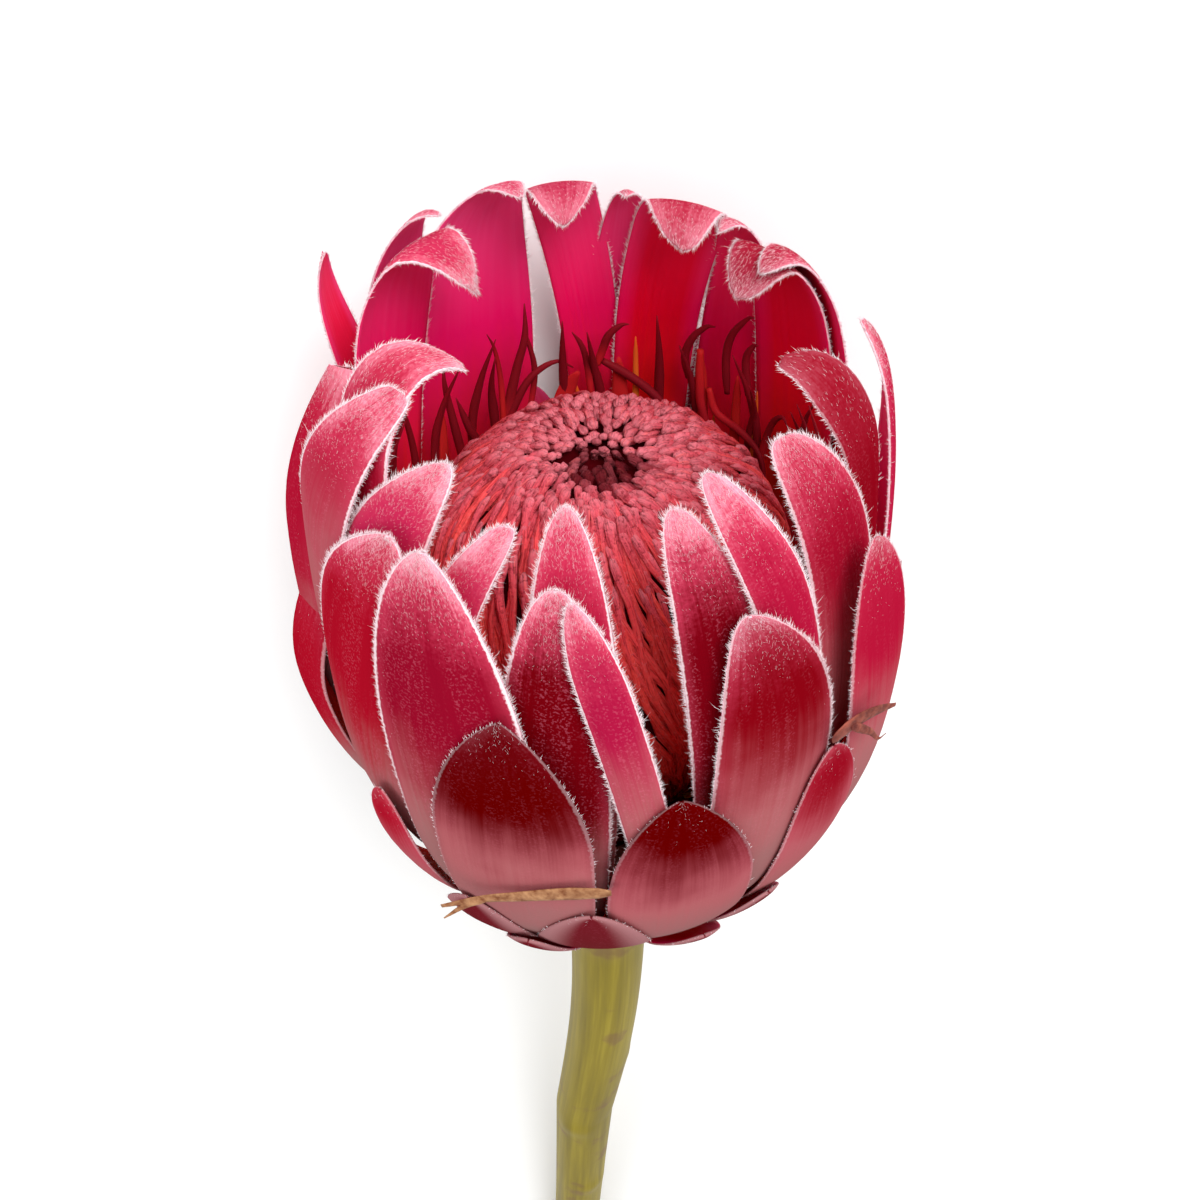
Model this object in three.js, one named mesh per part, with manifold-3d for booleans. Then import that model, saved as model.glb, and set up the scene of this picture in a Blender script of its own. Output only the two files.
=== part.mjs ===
import * as THREE from "three";
import { mergeVertices } from "three/addons/utils/BufferGeometryUtils.js";
import Module from "manifold-3d";

// A cut protea flower head on its stem, lying on its side. Layers of bracts make a cup round
// a dome of closed florets, and a few open florets stand between the two.
// The flower is built upright in millimetres, stem down, with the side that shows most
// facing -Y. Azimuths are in degrees from there, positive to the right. It is laid down at
// the end, so that the belly of the cup and the cut end of the stem touch the surface.

const wasm = await Module();
wasm.setup();

// Degrees that the mouth is raised when the flower is laid down, and the depth of the flat
// spots that are pressed into what touches the surface.
const MOUTH_LIFT = 4.2;
const REST_CUT = 0.2;

// Section of the innermost layer of bracts, from the root up and over the mouth: radius, height.
const CUP = [
  [9, 9.8], [17, 13.2], [24.5, 21.4], [28.8, 33], [30, 47], [29.6, 60],
  [28.6, 71], [26.8, 79.5], [23.6, 84.4], [20.4, 83.8], [18.2, 80], [17, 76],
];

// Bracts. az: azimuth of the root. half: widest half-width. reach: length along the cup.
// out: distance outside the innermost layer. lean, hook: degrees that the blade turns sideways
// all along and only near the tip. roll: how far the right edge lies outside the middle.
// tuck: how far both side edges lie inside the middle. flare: how far the tip stands out.
// wide: where the blade is widest, as a share of its length. point: how pointed the end is;
// 0.5 is round.
const SHOWN_BRACTS = [
  { az: -6.4, half: 4.8, reach: 80, out: 1.3, lean: 0.9, hook: -2, wide: 0.64, point: 0.53 },
  { az: -37.1, half: 3.5, reach: 78, out: 2.5, lean: 2.4, hook: 17.2, wide: 0.6, point: 0.35 },
  { az: -9.6, half: 5.9, reach: 73.2, out: 3.7, lean: 1.3, wide: 0.59, point: 0.47 },
  { az: 14.1, half: 2.6, reach: 72.8, out: 4.9, lean: -19.5, wide: 0.85 },
  { az: -22.5, half: 9, reach: 74.6, out: 4.9, lean: -10.4, hook: 2, wide: 0.68, point: 0.64 },
  { az: -15.7, half: 9, reach: 58.8, out: 6.2, lean: -1.3, hook: 0.3, wide: 0.68, point: 0.79 },
  { az: 15.7, half: 8.4, reach: 49, out: 6.2, lean: -3.6, wide: 0.65, point: 0.71 },
  { az: 27.5, half: 4.8, reach: 79.8, out: 2.2, lean: -6.3, hook: -9, wide: 0.65, point: 0.46 },
  { az: 39.2, half: 3.2, reach: 82.3, out: 3.4, lean: -2.1, hook: -18.7, wide: 0.85, point: 0.45 },
  { az: 55.3, half: 5.5, reach: 83, out: 2, lean: 0.3, hook: -18.5, wide: 0.72, point: 0.35 },
  { az: 27.4, half: 7.4, reach: 69.4, out: 4.8, lean: 10.2, hook: -14.3, wide: 0.68, point: 0.58 },
  { az: -59.2, half: 7, reach: 81.4, out: 1.5, lean: 5.1, hook: 21.8, wide: 0.63, point: 0.53 },
  { az: -61.3, half: 9.8, reach: 73.5, out: 3.5, lean: 12, hook: 8.8, wide: 0.68, point: 0.65 },
  {
    az: -86.3, half: 6.3, reach: 84.7, out: 3.2, lean: 20.8, hook: 18.6,
    roll: -1, wide: 0.57, point: 0.45,
  },
  {
    az: -74.1, half: 6.2, reach: 89.5, out: -0.8, lean: 19.7, hook: 1.9,
    flare: 3.6, wide: 0.59, point: 0.35,
  },
  { az: -94, half: 7.6, reach: 76, out: 7, roll: -1, tuck: 2.6, flare: -2.6, wide: 0.64, point: 0.5 },
  { az: -115.2, half: 3.6, reach: 79.8, out: 2, lean: -7.5, hook: 7.3, flare: 6.4, wide: 0.6 },
  {
    az: -114.3, half: 7.5, reach: 92.7, out: 0, lean: -1.3, hook: -10.1,
    flare: 1.4, wide: 0.8, point: 1,
  },
  { az: -128, half: 7, reach: 86.2, out: 3.5 },
  {
    az: -147, half: 10, reach: 87, out: 2.2, lean: 7.3, hook: -13.7,
    flare: 1.4, wide: 0.67, point: 0.65,
  },
  {
    az: 179, half: 3.9, reach: 89.2, out: 0.5, lean: 6.3, hook: 9.6,
    flare: 2.3, wide: 0.95, point: 0.69,
  },
  { az: 177, half: 5.5, reach: 86.3, out: 1.6, lean: -3 },
  {
    az: 167.9, half: 5.3, reach: 90.6, out: -0.3, lean: 3.3, hook: -19.4,
    flare: 1.6, wide: 0.89, point: 0.58,
  },
  { az: 147, half: 6.4, reach: 87.6, out: 0.5, lean: -4, point: 0.65 },
  {
    az: 124.8, half: 7, reach: 93.7, out: -0.75, lean: -1.6, hook: 6.8,
    flare: -0.4, wide: 0.69, point: 0.55,
  },
  { az: 113, half: 6.6, reach: 89.6, out: 0.1, lean: 9, wide: 0.7, point: 0.65 },
  { az: 91, half: 7.5, reach: 84.3, out: 2.2, lean: -8 },
  {
    az: 75.1, half: 3.6, reach: 87, out: 1, lean: -15.2, hook: -7.6,
    flare: 1.6, wide: 0.95, point: 0.35,
  },
  { az: 66, half: 7.5, reach: 71.3, out: 5.5, lean: -16 },
  { az: 46.5, half: 6.5, reach: 47.5, out: 5.8, lean: -4 },
  { az: -88, half: 7.4, reach: 49, out: 8.6, roll: -1.6, tuck: 2, flare: -1.4, wide: 0.72, point: 0.4 },
  { az: -47, half: 5.2, reach: 37.5, out: 5.6, flare: -0.6 },
];
// Bracts of the back and the short scales round the foot, row by row.
const BRACT_ROWS = [
  { out: 2.8, half: 6.4, reach: 72, azimuths: [173, 147, 121] },
  { out: 4.3, half: 6.8, reach: 62, azimuths: [160, 134, 106] },
  { out: 4.6, half: 6.8, reach: 62, azimuths: [-115, -138] },
  { out: 4.3, half: 6.8, reach: 54, azimuths: [-163] },
  { out: 6, half: 7.2, reach: 52, azimuths: [152, 122, -128, -154] },
  { out: 7.4, half: 7.2, reach: 37.5, azimuths: [-113] },
  { out: 5.5, half: 7.2, reach: 48, azimuths: [95] },
  { out: 7, half: 6, reach: 29.5, azimuths: [-26] },
  { out: 7, half: 7, reach: 30, azimuths: [-3] },
  { out: 6.8, half: 5.6, reach: 24, azimuths: [37] },
  { out: 7.9, half: 5, reach: 21.5, azimuths: [21, -16] },
  { out: 6.3, half: 5.6, reach: 21, azimuths: [76] },
  { out: 7.1, half: 6, reach: 25, azimuths: [118, 160, -158, -132] },
];
// The head lies on this broad bract, which has a flat strip down its middle.
const BELLY_BRACT = { az: 180, half: 8.8, reach: 54, out: 6.3 };
// Random change of the azimuth and reach of each bract in the rows above.
const SCATTER = 1;
const BRACT_THICKNESS = 0.8;
const BRACT_TUCK = 0.25;
// Width of the root and of the blunt tip as shares of the widest width, where the widest
// place is, and the two powers that shape the end.
const BRACT_ROOT_WIDTH = 0.36;
const BRACT_TIP_WIDTH = 0.16;
const BRACT_WIDEST = 0.58;
const BRACT_END_POWER = 2;
const BRACT_POINT = 0.6;
const HOOK_POWER = 6;
const FLARE_FROM = 0.72;
const ROLL_GROWTH = 2.5;
// Grid of a blade: columns, and rows as shares of its length.
const BRACT_COLUMNS = 3;
const LONG_ROWS = [0, 0.18, 0.36, 0.52, 0.66, 0.78, 0.87, 0.94, 0.982, 1];
const SHORT_ROWS = [0, 0.24, 0.46, 0.66, 0.84, 0.95, 1];
const SCALE_ROWS = [0, 0.35, 0.62, 0.85, 1];
const LONG_REACH = 76;
const SCALE_REACH = 40;

// Woody ring of bract roots: its section lies along the start of the cup.
const ROOT_RING = { from: -1, to: 8.2, depth: 3.2, segments: 30 };
const ROOT_START = 0.4;

// Receptacle, from the stem up to the seat of the florets: radius, height.
const RECEPTACLE = [[8.1, 10.7], [11.5, 2.7], [10.6, 0.2], [7.8, -2.8], [6.7, -8.5]];
const RECEPTACLE_SEGMENTS = 28;
// The stem thins from the neck towards the thinnest radius, slowly over `taper`; it leans back
// and to the left and bows to the right over its upper half.
const STEM = {
  thinnest: 3.5, neck: 6.2, taper: 200, length: 178, back: 0.0881, side: -0.038, bow: 2.1,
  sides: 14, rings: 12,
};
// Low swellings where leaves were: distance down the stem and azimuth.
const LEAF_SCARS = [
  { down: 66, az: 110 }, { down: 92, az: -22 }, { down: 121, az: 30 }, { down: 150, az: -135 },
];
const SCAR_SIZE = [2.4, 2.4, 3];
const SCAR_RISE = 0.45;

// Section of the dome's core from its seat to the top, and the florets on it.
const DOME = [
  [8.2, 11.1], [8.9, 14], [12, 19], [16, 26], [19.8, 34], [21.8, 42],
  [21.7, 50], [19.6, 57.5], [15.6, 63], [9.6, 66.4], [4, 67], [0.01, 66.4],
];
const DOME_RINGS = 10;
const DOME_SEGMENTS = 24;
// Closed florets: ridges in spirals over `span` of the dome's section. Each runs back from its
// tip and sinks into the core; those near the top are shorter.
const FLORETS = {
  count: 98, span: 43, length: 10, shortest: 0.55, half: 2.9, sides: 3, turn: 137.508, swirl: 6,
};
const FLORET_STATIONS = [
  { back: 0, rise: 0.4, width: 0.45 },
  { back: 0.3, rise: 1.5, width: 1 },
  { back: 1, rise: -0.9, width: 0.7 },
];

// Open florets: a ring of slender curved strands round the foot of the dome.
const OPEN_RING = [[10.7, 13.8], [12.9, 14.4], [12.9, 16], [10.7, 15.6]];
const OPEN_STRANDS = {
  azimuths: [
    -152, -137, -121, -106, -90, -71, -52, 34, 58, 76, 92, 104, 117, 129, 141, 153, 166, 179, -168,
  ],
  path: [[11.4, 14.8], [17.9, 22.2], [23.1, 33], [25.3, 45], [25.8, 56]],
  ends: [{ inward: 1, rise: 0.5, turn: 1.2 }, { inward: 3.6, rise: 1, turn: 1.8 }],
  tip: 13, tipScatter: 3, azimuthScatter: 3, bendScatter: 5,
  radius: 0.55, flatness: 0.8, widths: [1, 1, 1, 1.2, 1.9, 0.45], seed: 1775529208,
};
const OPEN_RING_SEGMENTS = 32;

// Dry threadlike strips that lie on the outside: azimuth, height and radius along each.
const DRY_STRIPS = {
  dry_strip_front: {
    route: [[1, 36.2, 36.5], [-7, 35.8, 36.6], [-14, 34.4, 36.7], [-21, 32.6, 37.1], [-28, 30.2, 38.3]],
    half: 1.5, tip: 0.5,
  },
  dry_strip_side: {
    route: [[40, 50.5, 36.4], [45, 51.3, 36.7], [50, 50.8, 37.2], [55, 49.5, 37.9]],
    half: 1.7, tip: 0.5,
  },
};
const STRIP_THICKNESS = 0.7;
const STRIP_STEPS = 8;

const COLOURS = {
  stem: 0x8c7d1c, bracts: 0xae1233, florets: 0xc8455a, open_florets: 0x5c0c18,
  dry_strip_front: 0xb98a4a, dry_strip_side: 0x8a4a3a,
};

const radians = THREE.MathUtils.degToRad;
let seed = 41;
function random() {
  seed = (seed * 16807) % 2147483647;
  return seed / 2147483647;
}
const scatter = (amount) => (2 * random() - 1) * amount;

function sectionLine(points) {
  const line = new THREE.SplineCurve(points.map(([r, h]) => new THREE.Vector2(r, h)));
  line.arcLengthDivisions = 600;
  line.total = line.getLength();
  return line;
}
const cupLine = sectionLine(CUP);
const domeLine = sectionLine(DOME);

// Point beside a section line: `length` along it, `out` to its right, turned to an azimuth.
function besideLine(line, length, out, azimuth) {
  const share = THREE.MathUtils.clamp(length / line.total, 0, 1);
  const p = line.getPointAt(share);
  const along = line.getTangentAt(share);
  return aroundAxis(p.x + along.y * out, p.y - along.x * out, azimuth);
}

function aroundAxis(radius, height, azimuth) {
  return new THREE.Vector3(radius * Math.sin(azimuth), -radius * Math.cos(azimuth), height);
}

function toSolid(geometry) {
  const plain = new THREE.BufferGeometry();
  plain.setAttribute("position", geometry.getAttribute("position"));
  plain.setIndex(geometry.getIndex());
  const merged = mergeVertices(plain, 1e-4);
  return new wasm.Manifold(new wasm.Mesh({
    numProp: 3,
    vertProperties: new Float32Array(merged.getAttribute("position").array),
    triVerts: new Uint32Array(merged.getIndex().array),
  }));
}

function toGeometry(solid) {
  const mesh = solid.getMesh();
  const geometry = new THREE.BufferGeometry();
  geometry.setAttribute("position", new THREE.BufferAttribute(mesh.vertProperties, 3));
  geometry.setIndex(new THREE.BufferAttribute(mesh.triVerts, 1));
  return geometry;
}

const fuse = (geometries) => geometries.map(toSolid).reduce((whole, piece) => whole.add(piece));

// Closed solid from rings of points, each ring anticlockwise seen from beyond its end.
function loft(rings) {
  const sides = rings[0].length;
  const faces = [];
  for (let i = 0; i + 1 < rings.length; i += 1) {
    for (let j = 0; j < sides; j += 1) {
      const next = (j + 1) % sides;
      const a = i * sides + j;
      const b = i * sides + next;
      faces.push(a, b, b + sides, a, b + sides, a + sides);
    }
  }
  const last = (rings.length - 1) * sides;
  for (let j = 1; j + 1 < sides; j += 1) {
    faces.push(0, j + 1, j);
    faces.push(last, last + j, last + j + 1);
  }
  const geometry = new THREE.BufferGeometry().setFromPoints(rings.flat());
  geometry.setIndex(faces);
  return geometry;
}

// Ring of points round a centre, in the plane across `along`; `up` is where its first point is.
function ringAround(centre, along, up, halfUp, halfSide, sides) {
  const forward = along.clone().normalize();
  const side = new THREE.Vector3().crossVectors(forward, up).normalize();
  const rise = new THREE.Vector3().crossVectors(side, forward);
  const points = [];
  for (let j = 0; j < sides; j += 1) {
    const angle = (j / sides) * 2 * Math.PI;
    points.push(centre.clone()
      .addScaledVector(rise, halfUp * Math.cos(angle))
      .addScaledVector(side, halfSide * Math.sin(angle)));
  }
  return points;
}

// Solid of revolution round the flower's axis from a closed section of radius, height points
// that runs anticlockwise.
function turned(section, segments) {
  const closed = [...section, section[0]].map(([r, h]) => new THREE.Vector2(r, h));
  return new THREE.LatheGeometry(closed, segments).rotateX(Math.PI / 2);
}

// Half-width of a blade at a share u of its length: it widens from the root, then rounds off.
function bladeHalf(bract, u) {
  const wide = bract.wide ?? BRACT_WIDEST;
  if (u < wide) {
    const growth = Math.sin((u / wide) * Math.PI / 2);
    return bract.half * (BRACT_ROOT_WIDTH + (1 - BRACT_ROOT_WIDTH) * growth);
  }
  const q = Math.min(1, (u - wide) / (1 - wide));
  const end = (1 - q ** BRACT_END_POWER) ** (bract.point ?? BRACT_POINT);
  return bract.half * Math.max(BRACT_TIP_WIDTH, end);
}

function bractPoint(bract, u, v, face) {
  const rise = THREE.MathUtils.smoothstep(u, FLARE_FROM, 1);
  const out = bract.out
    + (bract.roll ?? 0) * v * Math.min(1, ROLL_GROWTH * u)
    + (bract.flare ?? 0) * rise
    - (bract.tuck ?? BRACT_TUCK) * v ** 2
    + face * BRACT_THICKNESS / 2;
  const length = THREE.MathUtils.lerp(ROOT_START, bract.reach, u);
  const radius = cupLine.getPointAt(Math.min(length / cupLine.total, 1)).x + bract.out;
  const turn = (bract.lean ?? 0) * u ** 2 + (bract.hook ?? 0) * u ** HOOK_POWER;
  const azimuth = radians(bract.az + turn) + v * bladeHalf(bract, u) / radius;
  return besideLine(cupLine, length, out, azimuth);
}

// A blade with the same grid on both faces and a rim between them.
function bladeGeometry(pointAt, rows, columns) {
  const points = [];
  const faces = [];
  const width = columns + 1;
  for (const face of [1, -1]) {
    for (const u of rows) {
      for (let j = 0; j <= columns; j += 1) {
        points.push(pointAt(u, (2 * j) / columns - 1, face));
      }
    }
  }
  const inner = rows.length * width;
  const quad = (a, b, c, d) => faces.push(a, b, c, a, c, d);
  for (let i = 0; i + 1 < rows.length; i += 1) {
    for (let j = 0; j < columns; j += 1) {
      const a = i * width + j;
      const c = a + width;
      quad(a, a + 1, c + 1, c);
      faces.push(inner + a, inner + c + 1, inner + a + 1);
      faces.push(inner + a, inner + c, inner + c + 1);
    }
    const left = i * width;
    const right = left + columns;
    quad(left, left + width, inner + left + width, inner + left);
    quad(right, inner + right, inner + right + width, right + width);
  }
  const top = (rows.length - 1) * width;
  for (let j = 0; j < columns; j += 1) {
    quad(j, inner + j, inner + j + 1, j + 1);
    quad(top + j, top + j + 1, inner + top + j + 1, inner + top + j);
  }
  const geometry = new THREE.BufferGeometry().setFromPoints(points);
  geometry.setIndex(faces);
  return geometry;
}

function bractRows(reach) {
  if (reach > LONG_REACH) return LONG_ROWS;
  return reach > SCALE_REACH ? SHORT_ROWS : SCALE_ROWS;
}

function bracts() {
  const rows = BRACT_ROWS.flatMap((row) => row.azimuths.map((az) => ({
    ...row, az: az + scatter(SCATTER), reach: row.reach + scatter(SCATTER),
  })));
  const blades = [...SHOWN_BRACTS, BELLY_BRACT, ...rows].map((bract) => bladeGeometry(
    (u, v, face) => bractPoint(bract, u, v, face), bractRows(bract.reach), BRACT_COLUMNS,
  ));
  const corner = (length, out) => {
    const p = besideLine(cupLine, 0, out, 0);
    const along = cupLine.getTangentAt(0);
    return [-p.y + along.x * length, p.z + along.y * length];
  };
  const { from, to, depth, segments } = ROOT_RING;
  const section = [corner(0, to), corner(depth, to), corner(depth, from), corner(0, from)];
  const ring = turned(section, segments);
  return fuse([ring, ...blades]);
}

function stem() {
  const { thinnest, neck, taper, length, back, side, bow, sides, rings } = STEM;
  const radiusAt = (down) => thinnest + (neck - thinnest) * Math.exp(-down / taper);
  const centreAt = (down) => {
    const share = down / length;
    const bowed = bow * Math.sin(Math.PI * Math.min(1, 2 * share));
    return new THREE.Vector3(side * down + bowed, back * down, -down);
  };
  const backwards = new THREE.Vector3(0, 1, 0);
  const tube = [];
  for (let i = 0; i < rings; i += 1) {
    const down = (length * i) / (rings - 1);
    const along = centreAt(down - 1).sub(centreAt(down + 1));
    const radius = radiusAt(down);
    tube.unshift(ringAround(centreAt(down), along, backwards, radius, radius, sides));
  }
  const bottomUp = [...RECEPTACLE].reverse();
  const receptacle = turned(
    [[0, bottomUp[0][1]], ...bottomUp, [0, bottomUp.at(-1)[1]]], RECEPTACLE_SEGMENTS,
  );
  const scars = LEAF_SCARS.map(({ down, az }) => {
    const outwards = radiusAt(down) + SCAR_RISE - SCAR_SIZE[0];
    const centre = centreAt(down).add(aroundAxis(outwards, 0, radians(az)));
    return new THREE.IcosahedronGeometry(1, 0)
      .scale(...SCAR_SIZE)
      .translate(centre.x, centre.y, centre.z);
  });
  return fuse([loft(tube), receptacle, ...scars]);
}

function florets() {
  const outline = domeLine.getSpacedPoints(DOME_RINGS).map((p) => [p.x, p.y]);
  outline[DOME_RINGS][0] = 0;
  const core = turned([[0, outline[0][1]], ...outline], DOME_SEGMENTS);
  const { count, span, length, shortest, half, sides, turn, swirl } = FLORETS;
  const ridges = [];
  for (let k = 0; k < count; k += 1) {
    const fromTop = span * Math.sqrt((k + 0.5) / count);
    const long = length * THREE.MathUtils.lerp(shortest, 1, Math.sqrt(k / count));
    ridges.push(loft(FLORET_STATIONS.map(({ back, rise, width }) => {
      const at = domeLine.total - fromTop - back * long;
      const azimuth = radians(k * turn + swirl * back);
      const foot = besideLine(domeLine, at, rise - half / 2, azimuth);
      const up = besideLine(domeLine, at, rise + half, azimuth).sub(foot);
      const along = besideLine(domeLine, at - 1, rise - half / 2, azimuth).sub(foot);
      return ringAround(foot, along, up, half / 2, half * width, sides);
    })));
  }
  return fuse([core, ...ridges]);
}

function openFlorets() {
  const {
    azimuths, path, ends, tip, tipScatter, azimuthScatter, bendScatter, radius, flatness, widths,
  } = OPEN_STRANDS;
  seed = OPEN_STRANDS.seed;
  const [lastRadius, lastHeight] = path.at(-1);
  const strands = azimuths.map((az) => {
    const azimuth = radians(az + scatter(azimuthScatter));
    const bend = radians(scatter(bendScatter));
    const reach = tip + scatter(tipScatter);
    const curve = new THREE.CatmullRomCurve3([
      ...path.map(([r, h], i) => aroundAxis(r, h, azimuth + bend * (i / path.length) ** 2)),
      ...ends.map(({ inward, rise, turn }) => aroundAxis(
        lastRadius - inward, lastHeight + reach * rise, azimuth + bend * turn,
      )),
    ]);
    return loft(widths.map((width, i) => {
      const share = i / (widths.length - 1);
      const centre = curve.getPointAt(share);
      const r = radius * width;
      const outwards = centre.clone().setZ(0);
      return ringAround(centre, curve.getTangentAt(share), outwards, r * flatness, r, 4);
    }));
  });
  return fuse([turned(OPEN_RING, OPEN_RING_SEGMENTS), ...strands]);
}

function dryStrip({ route, half, tip }) {
  const curve = new THREE.CatmullRomCurve3(
    route.map(([az, h, r]) => aroundAxis(r, h, radians(az))),
  );
  const rings = [];
  for (let i = 0; i <= STRIP_STEPS; i += 1) {
    const share = i / STRIP_STEPS;
    const centre = curve.getPointAt(share);
    const width = THREE.MathUtils.lerp(half, tip, share ** 2);
    const outwards = centre.clone().setZ(0);
    rings.push(ringAround(
      centre, curve.getTangentAt(share), outwards, STRIP_THICKNESS / 2, width, 4,
    ));
  }
  return toSolid(loft(rings));
}

const solids = {
  stem: stem(),
  bracts: bracts(),
  florets: florets(),
  open_florets: openFlorets(),
  dry_strip_front: dryStrip(DRY_STRIPS.dry_strip_front),
  dry_strip_side: dryStrip(DRY_STRIPS.dry_strip_side),
};

// Lay the flower down: mouth towards -Y, the side that showed most upwards. What dips below
// the surface is cut off flat.
const lay = new THREE.Matrix4().makeRotationZ(Math.PI)
  .multiply(new THREE.Matrix4().makeRotationX(radians(MOUTH_LIFT - 90)));
const box = new THREE.Box3();
const laid = Object.entries(solids).map(([name, solid]) => {
  const geometry = toGeometry(solid).applyMatrix4(lay);
  geometry.computeBoundingBox();
  box.union(geometry.boundingBox);
  return [name, geometry];
});
const middle = box.getCenter(new THREE.Vector3());
const FLOOR_SIZE = 400;
const FLOOR_DEPTH = 20;
const floor = new THREE.BoxGeometry(FLOOR_SIZE, FLOOR_SIZE, FLOOR_DEPTH)
  .translate(0, 0, -FLOOR_DEPTH / 2);

const protea = new THREE.Group();
protea.name = "protea";
for (const [name, geometry] of laid) {
  geometry.translate(-middle.x, -middle.y, -box.min.z - REST_CUT);
  const trimmed = toGeometry(toSolid(geometry).subtract(toSolid(floor)));
  const material = new THREE.MeshStandardMaterial({ color: COLOURS[name], roughness: 0.75 });
  const mesh = new THREE.Mesh(trimmed, material);
  mesh.name = name;
  protea.add(mesh);
}

export default protea;
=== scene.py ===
from math import asin, cos, pi, radians, sin, sqrt
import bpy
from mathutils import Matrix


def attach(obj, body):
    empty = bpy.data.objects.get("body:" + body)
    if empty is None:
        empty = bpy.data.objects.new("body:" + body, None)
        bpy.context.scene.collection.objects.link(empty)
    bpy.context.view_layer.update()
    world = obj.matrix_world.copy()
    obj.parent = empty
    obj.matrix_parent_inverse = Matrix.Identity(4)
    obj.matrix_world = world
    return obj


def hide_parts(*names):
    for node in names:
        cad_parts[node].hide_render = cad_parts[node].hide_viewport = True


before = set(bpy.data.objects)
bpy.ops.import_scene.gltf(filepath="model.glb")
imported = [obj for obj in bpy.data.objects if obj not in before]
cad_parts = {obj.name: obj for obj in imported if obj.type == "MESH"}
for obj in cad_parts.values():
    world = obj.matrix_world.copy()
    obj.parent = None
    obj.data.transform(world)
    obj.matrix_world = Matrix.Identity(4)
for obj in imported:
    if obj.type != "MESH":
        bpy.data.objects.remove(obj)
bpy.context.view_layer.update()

from types import SimpleNamespace

import bpy
import numpy as np
from mathutils import Matrix, Vector

# Looks of a cut protea that lies on its back. Shapes are worked out in the flower's own frame,
# in millimetres: upright, stem down, azimuth 0 towards -Y, and then laid down as the solids are.

MM = 0.001
# How the flower lies: degrees that its mouth is lifted, and where the dome's seat is in its own frame.
MOUTH_LIFT = 4.2
SEAT_HEIGHT = 10.7

# View of the photograph, in the flower's frame: how far it looks down, the camera's distance,
# and how far the flower's origin lies below and beside the middle of the picture.
VIEW_DOWN = 48
VIEW_DISTANCE = 199
VIEW_DROP = 33.4
VIEW_ASIDE = 0.57
LENS, SENSOR = 42, 36
NEAR_CLIP, FAR_CLIP = 0.005, 20

# Section of the innermost layer of bracts: radius, height.
CUP = [
    (9, 9.8), (17, 13.2), (24.5, 21.4), (28.8, 33), (30, 47), (29.6, 60),
    (28.6, 71), (26.8, 79.5), (23.6, 84.4), (20.4, 83.8), (18.2, 80), (17, 76),
]

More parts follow.
